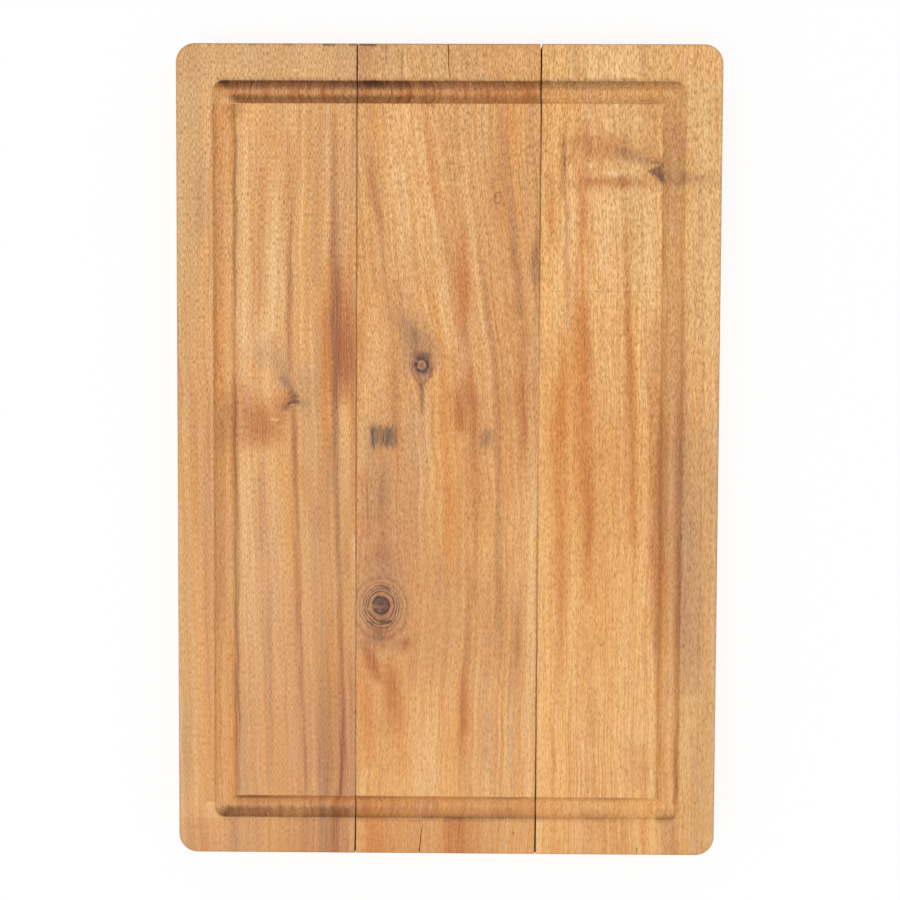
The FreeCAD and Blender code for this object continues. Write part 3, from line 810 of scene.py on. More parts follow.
            [(-100, 6, 6, 0.3), (-60, 5, 8, 0.45), (-30, 3, 7, 0.3), (-10, 3, 7, 0)],
            [(145, 12, 3, 0.4), (165, 12, 2.5, 0.35), (180, 11, 2.5, 0.1), (190, 10, 2, 0)],
            [(-300, -55, 9, 0.75), (-272, -55, 9, 0.6)],
            [(-36, -63, 4, 0), (-28, -63, 5, 0.5), (-18, -63, 5, 0.4), (-8, -63, 4, 0)],
        ],
        "gold": [
            [(-260, -25, 30, 0.25), (-200, -20, 28, 0.2), (-175, -15, 20, 0)],
            [(-300, -20, 40, 0.4), (-274, -20, 40, 0.3)],
        ],
        "pale": [
            [(52, 60, 4, 0), (66, 61, 5, 0.3), (76, 61, 5, 0.25), (88, 61, 4, 0)],
            [(205, -22, 4, 0), (225, -22, 4, 0.25), (262, -23, 4, 0.3)],
            [(130, -40, 9, 0.05), (170, -37, 11, 0.2), (220, -34, 12, 0.35), (256, -33, 10, 0.3)],
            [(20, -52, 8, 0.15), (60, -51, 8, 0.3), (90, -50, 9, 0.3), (115, -50, 9, 0)],
            [(-256, -15, 12, 0.35), (-225, -15, 9, 0.35), (-200, -14, 6, 0.2), (-185, -14, 4, 0)],
            [(-260, 62, 4, 0.3), (-150, 62, 4, 0.25), (-60, 62, 3.5, 0.35), (-20, 62.5, 3, 0.2),
             (0, 63, 2, 0)],
            [(-300, -11, 7, 0.25), (-275, -11, 6, 0.25)],
            [(120, -14, 3, 0), (140, -16, 3.5, 0.3), (190, -20, 3.5, 0.3), (220, -22, 3, 0)],
            [(80, 0, 2, 0), (110, -3.5, 2.5, 0.35), (150, -7, 2.5, 0.4), (200, -16, 2.5, 0.4),
             (250, -23, 2.5, 0.2)],
            [(100, 17, 1.5, 0.1), (130, 17, 2, 0.3), (180, 13, 2, 0.35), (220, 9, 2, 0.2)],
        ],
        "straw": [
            [(272, 0, 64, 0.35), (300, 0, 64, 0.45)],
        ],
    },
    "plank_right": {
        "heart": [
            [(-300, 167, 8, 0.3), (-274, 166, 8, 0.25)],
            [(-165, 155, 2.5, 0), (-140, 155, 2.5, 0.28), (-118, 155, 2.5, 0)],
            [(-260, 156, 2.5, 0.15), (-200, 157, 2.5, 0.15), (-165, 156.5, 3, 0.25),
             (-100, 157.5, 4, 0.3), (-40, 158, 4.5, 0.3), (0, 158.5, 4.5, 0.32), (30, 158.5, 4, 0.3),
             (60, 158.5, 2.5, 0.2), (110, 158.5, 2, 0.15), (190, 158, 3, 0.05), (240, 160, 3, 0.05)],
            # Painted shade: a thin dark line along the groove's outer lip.
            [(-262, 171.5, 1.2, 0.6), (-225, 171.5, 1.3, 0.6), (-195, 172, 1.0, 0.3),
             (-150, 172, 1.3, 0.3), (-127, 172, 1.6, 0.45), (-82, 172, 1.8, 0.5),
             (-40, 172, 2.0, 0.45), (0, 172.5, 2.6, 0.45), (40, 173, 3.0, 0.42), (83, 173, 2.6, 0.3),
             (130, 171.5, 1.2, 0.1), (200, 171, 1.2, 0.1), (262, 170.5, 1.2, 0.2)],
            [(-90, 187, 0.7, 0.1), (0, 187.5, 0.7, 0.2), (100, 187, 0.7, 0.2),
             (200, 184.5, 0.7, 0.15), (220, 184, 0.7, 0)],
            [(195, 182, 20, 0), (200, 182, 22, 0.3), (204, 182, 22, 0.3), (208, 180, 22, 0)],
            [(200, 84.5, 1.6, 0), (212, 84, 1.8, 0.7), (226, 83.6, 1.6, 0.6), (236, 83.3, 1.2, 0)],
            [(130, 166, 6, 0), (185, 166, 7, 0.1), (215, 165, 8, 0.25), (235, 165, 8, 0.28),
             (250, 166, 6, 0.1), (262, 165, 6, 0)],
        ],
        "grey": [
            [(-215, 171, 3.5, 0), (-180, 171, 4, 0.18), (-120, 172.5, 4.5, 0.32),
             (-60, 172.5, 4.5, 0.35), (0, 172, 4, 0.3), (40, 171, 4, 0)],
            [(90, 87.5, 1.0, 0.3), (140, 86.8, 1.2, 0.55), (180, 86, 1.4, 0.6), (212, 84.5, 1.5, 0.7),
             (235, 83.5, 1.4, 0.4), (245, 83, 1, 0)],
            [(-180, 180, 7, 0.2), (-150, 180, 8, 0.5), (-110, 179, 9, 0.6), (-90, 179, 9, 0.55),
             (-60, 178, 8, 0.55), (-30, 177, 7, 0.5), (0, 177, 7, 0.45), (40, 177, 6, 0.2),
             (70, 177, 5, 0)],
            [(276, 142, 3, 0.2), (300, 142, 3, 0.25)],
            [(276, 92, 2, 0.4), (300, 92, 2, 0.4)],
            [(-300, 191, 14, 0.3), (-200, 192, 12, 0.2), (-25, 192, 10, 0.4), (25, 192, 10, 0.2),
             (50, 192, 9, 0)],
            [(-250, 168, 4, 0.1), (-130, 168, 4, 0.25), (-80, 167, 5, 0.3), (0, 167, 6, 0.35),
             (75, 167, 6, 0.35), (160, 167, 6, 0.3), (190, 166, 7, 0.45), (270, 166, 7, 0.35)],
            [(-240, 176, 1.0, 0), (-200, 176, 1.0, 0.35), (-100, 175, 1.2, 0.4), (10, 175, 1.0, 0.2),
             (40, 175, 1.0, 0)],
            [(-230, 181, 0.8, 0), (-180, 181, 0.9, 0.3), (-60, 180, 0.9, 0.3), (60, 180, 0.8, 0.15),
             (90, 180, 0.8, 0)],
            [(-260, 187, 0.9, 0.1), (-150, 187, 1.0, 0.35), (-40, 187, 0.9, 0.2), (10, 187, 0.9, 0)],
        ],
        "red": [
            [(-165, 154.5, 2.5, 0), (-135, 154, 2.8, 0.3), (-60, 153.8, 3, 0.4), (5, 154, 2.8, 0.35),
             (25, 155, 2.5, 0)],
            [(-165, 162, 2.5, 0), (-135, 161.5, 2.5, 0.2), (-60, 161.5, 2.8, 0.25),
             (10, 161.5, 2.5, 0.2), (30, 161.5, 2.5, 0)],
            [(52, 70, 5, 0), (66, 70, 6, 0.25), (76, 70, 6, 0.25), (92, 70, 5, 0)],
            [(-10, 165, 6, 0), (5, 165, 7, 0.22), (18, 165, 7, 0.2), (34, 165, 6, 0)],
            [(-252, 140, 8, 0.1), (-235, 140, 9, 0.25), (-222, 140, 9, 0.22), (-205, 140, 7, 0)],
            [(-75, 139, 1.6, 0), (-60, 138, 1.8, 0.3), (-20, 137, 2, 0.4), (20, 135.5, 2, 0.5),
             (50, 134, 2.4, 0.5), (100, 132, 2.6, 0.5), (130, 131, 2.2, 0.35),
             (165, 130, 2, 0.15), (180, 130, 2, 0)],
            [(-85, 106, 2, 0), (-65, 106, 3, 0.4), (-40, 105.5, 3, 0.6), (-15, 104, 2.8, 0.3),
             (10, 104, 2.5, 0.25), (60, 103, 3, 0.3), (85, 102, 3, 0.4), (105, 101, 3, 0.3),
             (120, 101, 3, 0)],
            [(212, 135, 20, 0), (218, 128, 30, 0.4), (224, 118, 34, 0.55), (231, 105, 28, 0.4),
             (238, 100, 20, 0)],
            [(193, 115, 35, 0), (198, 118, 40, 0.5), (201, 120, 40, 0.55), (206, 125, 30, 0)],
            [(-220, 107, 4, 0), (-205, 108, 4.5, 0.3), (-180, 108, 4, 0.25), (-150, 107, 3, 0.1),
             (-130, 107, 3, 0)],
            [(-150, 163, 5, 0.1), (-90, 163, 5, 0.25), (0, 163, 5, 0.15), (50, 164, 5, 0.1),
             (100, 165, 5, 0)],
            [(-256, 149, 2.5, 0), (-235, 148, 3, 0.2), (-200, 148, 3, 0), (-190, 148, 3, 0)],
            [(-150, 154, 4, 0), (-110, 154, 4.5, 0.35), (0, 153, 5.5, 0.45), (50, 152, 6, 0.45),
             (90, 152, 6, 0.35), (115, 152, 5, 0)],
            [(-300, 120, 30, 0.2), (-274, 120, 30, 0.15)],
            [(203, 149, 6, 0), (215, 149, 6, 0.25), (235, 148, 6, 0.2), (250, 148, 6, 0.3),
             (262, 148, 6, 0.3)],
            [(205, 90, 3, 0), (218, 90, 4, 0.3), (232, 90, 4, 0)],
            [(150, 98, 2.5, 0.1), (172, 98, 3, 0.4), (190, 98.5, 3, 0.35), (205, 99, 3, 0.2),
             (245, 100, 3, 0.2)],
        ],
        "orange": [
            [(-135, 85, 4, 0), (-105, 84.5, 4.5, 0.25), (-50, 84, 5, 0.35), (30, 84, 5.5, 0.35),
             (70, 86, 5, 0.2), (95, 87, 4, 0)],
            [(-45, 100, 5, 0), (-10, 99, 6, 0.14), (60, 98, 6.5, 0.2), (105, 97, 6, 0.2),
             (122, 97, 5, 0)],
            [(-120, 80, 4, 0), (-95, 80, 4, 0.2), (-30, 80, 5, 0.2), (20, 80, 7, 0.25), (60, 80, 6, 0)],
            [(30, 90, 2.5, 0), (50, 90, 2.5, 0.25), (150, 90, 2.5, 0.2), (172, 90, 2.5, 0)],
            [(58, 115, 3, 0), (75, 115, 3, 0.25), (125, 115, 3, 0.3), (142, 115, 3, 0)],
            [(-70, 131, 8, 0), (-50, 131, 8, 0.2), (0, 126, 9, 0.22), (15, 126, 9, 0.22), (32, 126, 8, 0)],
            [(-215, 100, 3, 0), (-190, 100, 3, 0.2), (-115, 100, 3, 0.2), (-95, 100, 3, 0)],
            [(-200, 84, 3, 0.1), (-150, 84, 3.5, 0.5), (-110, 85, 4, 0.55), (-40, 84, 4, 0.6),
             (30, 84, 4, 0.75), (70, 85, 3.5, 0.5), (100, 85, 3, 0)],
            [(-60, 97, 4, 0.1), (0, 96, 5.5, 0.55), (60, 97, 6.5, 0.65), (100, 97, 6.5, 0.6),
             (125, 97, 4.5, 0.3), (150, 98, 3, 0.3), (190, 99, 3, 0.2), (245, 100, 3, 0.2)],
            [(-50, 75, 5, 0), (-20, 75, 5.5, 0.25), (15, 76, 6, 0.4), (45, 76, 6, 0.3), (65, 76, 5, 0)],
            [(-160, 110, 4, 0), (-140, 110, 4, 0.3), (-110, 110, 4, 0.2), (-90, 110, 4, 0)],
            [(150, 74.5, 3, 0.1), (172, 75, 3, 0.6), (195, 75, 3, 0.4), (215, 75, 3, 0)],
            [(-110, 105, 4, 0.35), (-60, 104, 5.5, 0.7), (-30, 104, 6, 0.7), (10, 104, 5, 0.35),
             (60, 103, 4, 0.25), (100, 102, 4, 0.2)],
            [(-256, 161, 3.5, 0.1), (-126, 161, 4, 0.2), (-75, 161, 4, 0.2), (0, 162, 4, 0.15),
             (100, 162, 4, 0.1)],
            [(-70, 138, 5, 0.35), (0, 137, 5.5, 0.4), (60, 134, 3.5, 0.5), (120, 132, 3, 0.35),
             (170, 131, 4.5, 0.2), (200, 131, 4, 0)],
            [(276, 142, 2.5, 0.3), (300, 142, 2.5, 0.3)],
            [(-130, 110, 14, 0), (-90, 110, 16, 0.2), (20, 108, 18, 0.25), (70, 106, 14, 0.1),
             (90, 106, 12, 0)],
        ],
        "gold": [
            [(-262, 73, 7, 0.4), (-180, 73, 7, 0.5), (-84, 73, 7, 0.75), (-40, 73, 7, 0.8),
             (40, 72.5, 6.5, 0.75), (120, 73, 5, 0.6), (150, 73, 4, 0.3), (170, 73, 4, 0)],
            [(-150, 95, 7, 0.3), (-60, 94, 6, 0.5), (20, 91, 4, 0.4), (80, 90, 3, 0.3)],
            [(-200, 120, 20, 0.2), (-80, 124, 18, 0.4), (0, 124, 14, 0.3), (60, 124, 8, 0)],
        ],
        "pale": [
            [(112, 135, 6, 0), (126, 135, 7, 0.28), (138, 135, 7, 0.25), (152, 135, 6, 0)],
            [(84, 85, 6, 0), (96, 85, 7, 0.28), (106, 85, 7, 0.25), (118, 85, 6, 0)],
            [(172, 115, 7, 0), (186, 115, 8, 0.28), (196, 115, 8, 0.25), (208, 115, 6, 0)],
            [(-222, 160, 6, 0), (-206, 160, 7, 0.28), (-194, 160, 7, 0.25), (-180, 160, 6, 0)],
            [(-250, 145, 2.5, 0), (-225, 145, 2.5, 0.3), (-150, 145, 2.5, 0.25), (-130, 145, 2.5, 0)],
            [(276, 140, 3, 0.35), (300, 140, 3, 0.4)],
            [(50, 116, 6, 0.1), (80, 116, 6.5, 0.25), (120, 115, 7, 0.4), (180, 115, 8, 0.35),
             (190, 115, 8, 0)],
            [(100, 147, 4, 0.4), (150, 146, 5, 0.5), (190, 144, 5, 0.35), (198, 144, 5, 0)],
            [(-110, 147, 4, 0.3), (-60, 147, 4, 0.25), (-20, 147, 3, 0.1), (30, 146, 3, 0.2),
             (60, 146, 3, 0.3), (100, 147, 4, 0.4)],
            [(276, 122, 18, 0.5), (300, 122, 18, 0.55)],
            [(276, 104, 2.5, 0.4), (300, 104, 2.5, 0.4)],
            [(-260, 130, 12, 0.1), (-200, 130, 12, 0.15), (-100, 128, 8, 0.1), (-60, 126, 5, 0)],
            [(60, 193, 5, 0), (80, 193, 5, 0.4), (125, 193, 5, 0.3), (175, 192, 5, 0.15),
             (300, 188, 8, 0.1)],
            [(-260, 151, 3, 0.3), (-180, 151, 3, 0.3), (-120, 150, 3, 0.25), (-90, 150, 3, 0)],
            [(110, 90.5, 2.2, 0.2), (150, 90.5, 2.4, 0.45), (200, 90, 2.4, 0.3), (215, 90, 2, 0)],
        ],
        "straw": [
            [(272, 125, 62, 0.4), (300, 125, 62, 0.45)],
            [(40, 190, 14, 0), (90, 188, 16, 0.45), (272, 188, 16, 0.6)],
            [(80, 138, 16, 0), (130, 138, 18, 0.4), (262, 138, 22, 0.55)],
            [(-300, 190, 16, 0.4), (-60, 192, 12, 0.3), (40, 192, 12, 0.1)],
        ],
    },
}
STROKE_EDGE = 2.5
STROKE_WANDER = 0.5
SLANT = 0.25
UNDER_SHARE = 0.4


def painted(strokes, x, y, depth):
    """How strongly strokes cover each point. One stroke gives its strength times
    exp(-(distance from its middle / half width)^2.5), strokes over each other leave
    (1 - a) * (1 - b) of the wood bare, and the figure slants and weakens with depth."""
    bare = np.ones(x.shape)
    x = x + SLANT * depth + STROKE_WANDER * wander(y, 40.0, 21)
    for stroke in strokes:
        along, middle, half, strength = zip(*stroke)
        off = np.abs(x - eased(y, list(zip(along, middle)))) / eased(y, list(zip(along, half)))
        cover = np.interp(y, along, strength, left=0, right=0) * np.exp(-off ** STROKE_EDGE)
        bare *= 1 - cover
    return (1 - bare) * (1 - (1 - UNDER_SHARE) * depth / THICKNESS)


print("strokes:", {name: sum(map(len, kinds.values())) for name, kinds in FIGURE.items()})

# %% [markdown]
# ## What the cutter leaves, and painted shade in the groove
#
# The groove's runs across the board cut through the fibres. Their open ends drink the oil and
# turn orange-brown, and where the cutter slows in the hard wood it rubs and scorches the wall
# to a dark brown, most of all on the outer lip at the back. Part of the dark brown on these walls
# is painted shade, and so is the thin dark line at each lip, which is all that the runs along
# the board have. Both are worked out from the distance across the groove. The board's own two
# ends are cut across the fibres too, so they drink oil as well.

# %% Oil-soaked ends, scorched walls and painted shade at the lips
# A profile is (place across in half widths, strength), and a run is (x, strength).
# The dark profiles and runs of the scorch are partly painted shade on the groove's walls.
BACK_INNER = [(-1.04, 0), (-0.95, 0.75), (-0.75, 0.75), (-0.55, 1), (-0.4, 0.95), (-0.2, 0.45),
              (-0.05, 0)]
BACK_OUTER = [(0.1, 0), (0.3, 0.5), (0.5, 0.85), (0.75, 1), (0.97, 1), (1.04, 0)]
FRONT_INNER = [(-1.05, 0), (-0.95, 0.9), (-0.82, 1), (-0.65, 0.6), (-0.5, 0)]
FRONT_OUTER = [(0.0, 0), (0.2, 0.6), (0.35, 1), (0.95, 0.9), (1.08, 0)]
# The next two profiles are painted shade: a thin dark line at each lip of the groove.
LIP_SHADE = [(0.6, 0), (0.8, 0.4), (0.95, 1), (1.08, 0.95), (1.22, 0.3), (1.34, 0)]
SIDE_LIP_SHADE = [(-1.1, 0), (-1.0, 0.15), (-0.85, 0), (0.85, 0), (1.0, 0.2), (1.1, 0)]
BACK_INNER_RUN = [(-172, 0), (-166, 0.65), (-157, 0.7), (-145, 0.6), (-110, 0.6), (-80, 0.6),
                  (-55, 0.65), (-25, 0.55), (-10, 0.42), (5, 0.35), (15, 0.3), (45, 0.35),
                  (66, 0.3), (69, 0.05), (130, 0.05), (150, 0.15), (158, 0.1), (164, 0)]
BACK_OUTER_RUN = [(-174, 0.9), (-165, 0.9), (-150, 0.75), (-110, 0.7), (-80, 0.75), (-64, 0.85),
                  (-58, 1.0), (-50, 1.0), (-44, 0.85), (-20, 0.72), (0, 0.55), (15, 0.47),
                  (45, 0.55), (66, 0.55), (69, 0.48), (90, 0.48), (120, 0.42), (150, 0.35),
                  (172, 0.3)]
FRONT_INNER_RUN = [(-160, 0.3), (-155, 0.72), (-140, 0.62), (-110, 0.3), (-80, 0.14), (-68, 0.12),
                   (-66, 0.45), (-55, 0.4), (-20, 0.2), (15, 0.2), (45, 0.4), (66, 0.25),
                   (90, 0.18), (105, 0.25), (120, 0.4), (135, 0.3), (150, 0.12), (158, 0)]
FRONT_OUTER_RUN = [(-174, 0.75), (-163, 0.7), (-150, 0.52), (-130, 0.5), (-110, 0.32), (-96, 0.5),
                   (-75, 0.5), (-68, 0.25), (-66, 0.15), (-20, 0.08), (-5, 0.12), (5, 0.12),
                   (30, 0.1), (46, 0.22), (56, 0.1), (66, 0), (98, 0), (106, 0.15), (118, 0.12),
                   (126, 0), (155, 0), (160, 0.2), (168, 0.2), (172, 0.1)]
# The two lip runs give how strong the painted shade at the lips is along the front and the back.
FRONT_LIP_SHADE_RUN = [(-174, 0.2), (-130, 0.15), (-110, 0.3), (-68, 0.15), (-66, 0.35), (-20, 0.3),
                 (5, 0.5), (20, 0.5), (45, 0.35), (66, 0.3), (90, 0.18), (115, 0.32), (130, 0.25),
                 (148, 0.1), (156, 0.15), (160, 0.5), (172, 0.5)]
BACK_LIP_SHADE_RUN = [(-174, 0.3), (-60, 0.3), (66, 0.3), (69, 0.35), (130, 0.3), (172, 0.35)]
BACK_SOAK = [(-172, 0.55), (66, 0.55), (69, 0.15), (172, 0.08)]
FRONT_SOAK = [(-172, 0.4), (-66, 0.4), (-64, 0.55), (-30, 0.45), (0, 0.25), (66, 0.2), (69, 0.1),
              (172, 0.02)]
SOAK_ACROSS = [(-1.08, 0), (-0.95, 0.8), (0, 1), (0.95, 0.9), (1.08, 0)]
CORNER_TURN = 10.0
END_FACE_SOAK = 0.42
END_FACE_REACH = 12.0


def cutter_marks_and_groove_shade(x, y, z, facing_end):
    """How dark each point is from the scorch and from painted shade, and how soaked it is: a profile
    across the groove, times a strength along the run. The painted shade is a thin dark line at
    each lip, and part of the dark brown on the walls of the runs across the board. A corner turns
    from the one kind of run to the other over its diagonal, within CORNER_TURN. The ends of the
    board are soaked as far as they face the front or the back, from END_FACE_REACH beyond the
    cutter's path."""
    off = off_path(x, y)
    beyond = np.abs(y) - PATH_Y
    across = np.where(beyond < 0, beyond, off) / MOUTH_X
    to_end = np.clip(0.5 + (beyond - (np.abs(x) - PATH_X)) / CORNER_TURN, 0, 1)
    blotches = 1 + 0.08 * wander(x, 17.0, 31) + 0.06 * wander(x, 3.0, 32)
    back = y > 0
    zone = runs(across, BACK_OUTER) * runs(x, BACK_OUTER_RUN)
    # lip is the painted shade at the lips: a thin dark line along each one.
    lip = runs(across, LIP_SHADE) * runs(x, BACK_LIP_SHADE_RUN)
    at_back = runs(across, BACK_INNER) * runs(x, BACK_INNER_RUN) + zone + lip * (1 - zone)
    uneven = across + 0.12 * wander(x, 9.0, 35) * (across > 0) * (across < 0.6)
    zone = runs(uneven, FRONT_OUTER) * runs(x, FRONT_OUTER_RUN)
    lip = runs(across, LIP_SHADE) * runs(x, FRONT_LIP_SHADE_RUN)
    at_front = runs(across, FRONT_INNER) * runs(x, FRONT_INNER_RUN) + zone + lip * (1 - zone)
    ends = np.where(back, at_back, at_front) * blotches
    # The runs along the board only get the painted shade at their lips.
    sides = runs(off / MOUTH_X, SIDE_LIP_SHADE) * (1 + 0.3 * wander(y, 50.0, 33))
    top = z > THICKNESS / 2
    scorch_and_shade = np.clip(to_end * ends + (1 - to_end) * sides, 0, 1) * top
    soak = runs(across, SOAK_ACROSS) * np.where(back, runs(x, BACK_SOAK), runs(x, FRONT_SOAK))
    soak = np.clip(soak * to_end * (1 + 0.15 * wander(x, 14.0, 34)), 0, 1) * top
    end_face = np.clip(facing_end * 2 - 1, 0, 1) * (off > END_FACE_REACH)
    return scorch_and_shade, np.maximum(soak, END_FACE_SOAK * end_face)


# %% [markdown]
# ## What the mesh tells the finish
#
# Glue darkens the wood close to each glue line, and where a glue line has opened towards the
# board's ends, the same dark brown is painted shade in the gap. The rounded rim is a little darker
# than the flat, and two grey patches on the middle plank look like the stain that iron leaves on
# damp acacia.
# These too are worked out from distances. Everything that the finish has to know about a point
# is then stored in the mesh under a name, so that the shader only has to read it.

# %% Values at each point of a plank
# A stain is (x, y, half width, half length, strength).
# The glue tone is strongest where a glue line has opened, because there it is painted shade in the gap as
# well as glue.
GLUE_AND_GAP_SHADE_TONE = {
    "left": [(-300, 1.0), (-262, 0.9), (-240, 0.6), (-100, 0.6), (0, 0.8), (90, 0.8), (300, 0.85)],
    "right": [(-300, 1.0), (-150, 0.8), (-60, 0.4), (60, 0.3), (110, 0.7), (300, 1.0)],
}
GLUE_REACH = 0.6
RIM_REACH = 0.9
RIM_DEPTH = 3.0
STAINS = [(-47.2, 12.5, 10.0, 7.6, 0.9), (-54.5, 11.0, 2.6, 8.6, 0.12),
          (29.0, 11.5, 5.5, 7.0, 0.45)]
STAIN_DEPTH = 1.0
STAIN_SIDE_EDGE = 2.5
STAIN_END_EDGE = 1.2


def iron_stain(x, y):
    """How strongly iron has stained each point: a soft-edged box, 1 / (1 + exp(distance out)),
    with a firmer edge at its sides than at its ends. The ends are ragged, because the stain ran
    along the fibres."""
    ragged = 1.6 * wander(x, 3.2, 41)
    total = np.zeros(x.shape)
    for middle_x, middle_y, half_x, half_y, strength in STAINS:
        out = np.maximum(STAIN_SIDE_EDGE * (np.abs(x - middle_x) - half_x),
                         STAIN_END_EDGE * (np.abs(y - middle_y) - half_y + ragged))
        total += strength / (1 + np.exp(np.clip(out, -30, 30)))
    return total


def set_values(mesh, name, kind, values):
    """Stores one value or vector for each point of a mesh."""
    key = "vector" if kind == "FLOAT_VECTOR" else "value"
    mesh.attributes.new(name, kind, "POINT").data.foreach_set(key, values.astype(np.float32).ravel())


def store_wood(name, plank):
    """Gives each point its place in the tree, its strength in each kind of figure, the cutter's
    marks with the painted shade in the groove, and its nearness to a glue line, which carries
    painted shade where the gap has opened, to an iron stain and to the board's rounded rim."""
    mesh = plank.data
    points = np.empty(len(mesh.vertices) * 3, np.float32)
    mesh.vertices.foreach_get("co", points)
    x, y, z = points.reshape(-1, 3).T.astype(float) / MM
    normals = np.empty(len(mesh.vertices) * 3, np.float32)
    mesh.vertex_normals.foreach_get("vector", normals)
    depth = THICKNESS - z
    set_values(mesh, "tree", "FLOAT_VECTOR", np.stack([across_fibres(name, x, y), y, z], -1))
    for kind, strokes in FIGURE[name].items():
        set_values(mesh, kind, "FLOAT", painted(strokes, x, y, depth))
    scorch_and_shade, soak = cutter_marks_and_groove_shade(x, y, z, np.abs(normals.reshape(-1, 3)[:, 1]))
    set_values(mesh, "scorch_and_shade", "FLOAT", scorch_and_shade)
    set_values(mesh, "soak", "FLOAT", soak)
    # Dark glue, and painted shade where the gaps have opened.
    glue_and_gap_shade = [np.exp(-((x - glue_line(side, y)) / GLUE_REACH) ** 2) * runs(y, GLUE_AND_GAP_SHADE_TONE[side])
            for side in ("left", "right")]
    set_values(mesh, "glue_and_gap_shade", "FLOAT", np.maximum(*glue_and_gap_shade))
    set_values(mesh, "iron", "FLOAT", iron_stain(x, y) * (depth < STAIN_DEPTH))
    rim = np.exp(-(inset(x, y) / RIM_REACH) ** 2) * (depth < RIM_DEPTH)
    set_values(mesh, "rim", "FLOAT", rim)
    return len(mesh.vertices)


print("points per plank:", {name: store_wood(name, plank) for name, plank in planks.items()})

# %% [markdown]
# ## Acacia, oiled
# Their lighter and darker dashes are painted light and shade: the glints and the shade of the pores, with
# the dust in them.
#
# Solid acacia, planed, sanded and rubbed with oil, which gives the eye a warm honey with a soft
# sheen. Its colour moves in two ways at once. It goes lighter and darker with the tree's years,
# and apart from that it drifts between orange heartwood and cooler, pinkish wood, so two colour
# ramps share the lightness and a slow noise mixes them. Over that lies the grain that a finger
# feels: pores about a third of a millimetre wide and a few long. They are drawn twice as wide,
# as fine sand-like dashes both lighter and darker than the wood, because at their true width
# they would vanish between two pixels.
#
# The tree's years are rings round its pith, and the pith lies outside these planks. On the top
# face the rings run out into soft bands. On the sawn ends they stand out as arcs, because their
# soft wood drinks more of the oil.

# %% The colours of the wood, its figure and its marks
WARM = [(0.0, "#cd8742", 1.0), (0.5, "#df9e57", 1.0), (1.0, "#eeb872", 1.0)]
COOL = [(0.0, "#c28754", 1.0), (0.5, "#d59e68", 1.0), (1.0, "#e6b681", 1.0)]
FIGURE_COLOURS = {
    "straw": "#dab078",
    "pale": "#f2c78e",
    "gold": "#ecb068",
    "orange": "#cf8038",
    "red": "#b4652f",
    "grey": "#b28560",
    "heart": "#935837",
}
SOAKED = "#b8692a"
# The next two colours are each partly painted shade: the scorch on the groove's walls and lips, and the
# glue in the opened gaps.
SCORCH_AND_SHADE = "#48220f"
GLUE_AND_GAP_SHADE = "#5c270e"
IRON = "#584b3c"
RIM = "#8d6a4c"
COOLNESS = {"plank_left": 0.62, "plank_middle": 0.42, "plank_right": 0.25}
LIGHTNESS = {"plank_left": 0.6, "plank_middle": 0.58, "plank_right": 0.72}

# %% [markdown]
# A knot is a set of rings, so its colour is a ramp over the distance from its pith. The pith
# isn't at the middle of its rings: adding a share of the height to the distance draws each ring
# as an ellipse with its focus at the pith. Two noises bend the rings and a third breaks them up.
# Small marks, such as a bruise, a hairline or a painted glint, are short strokes with round
# ends, and their shape is the distance from a short line.
#
# A knot is written as its pith, its stretch, that share of the height, its reach in mm, and the
# stops of its ramp: how far out each lies, its colour and its strength. A mark is written as
# its colour, its two ends, half its width and its strength.

# %% Knots and small marks
RINGS = {
    "plank_left": [],
    "plank_middle": [
        ((-19.4, 65.6), (1.0, 0.96), 0.0, 12.0,
         [(0.0, "#a06a55", 0.9), (1.2, "#8f5f4a", 0.9), (2.3, "#ad8364", 0.9), (3.3, "#80594a", 0.92),
          (4.0, "#432b25", 0.95), (4.6, "#432b25", 0.95), (5.3, "#6b453a", 0.85),
          (6.8, "#895c4a", 0.65), (9.0, "#a06c54", 0.45), (12.0, "#a9735a", 0.0)]),
        ((-49.0, -111.9), (1.14, 1.0), 0.14, 27.0,
         [(0.0, "#6e4533", 0.9), (1.0, "#54372a", 0.93), (2.6, "#7d5544", 0.9),
          (3.6, "#5b3d31", 0.92), (4.8, "#744f3d", 0.9), (6.0, "#452d24", 0.95),
          (7.0, "#6b4431", 0.85), (8.0, "#a87148", 0.55), (9.6, "#b67e4f", 0.45),
          (10.3, "#8a5a40", 0.7), (11.2, "#6f4130", 0.9), (11.8, "#a06a48", 0.6),
          (12.3, "#cf9a68", 0.5), (12.8, "#7f5039", 0.85), (13.6, "#7f5039", 0.8),
          (14.3, "#d09c6c", 0.5), (15.1, "#85543b", 0.75), (15.8, "#9a6340", 0.6),
          (16.6, "#cf9462", 0.3), (18.2, "#93593a", 0.65), (19.2, "#cf9462", 0.15),
          (22.4, "#a0613b", 0.5), (26.0, "#b97f54", 0.0)]),
    ],
    "plank_right": [],
}
MARK_COLOURS = {"brown": "#6e4033", "black": "#2c2420", "smoke": "#86684f", "pale": "#f2d2a4",
                "red": "#b8703f"}
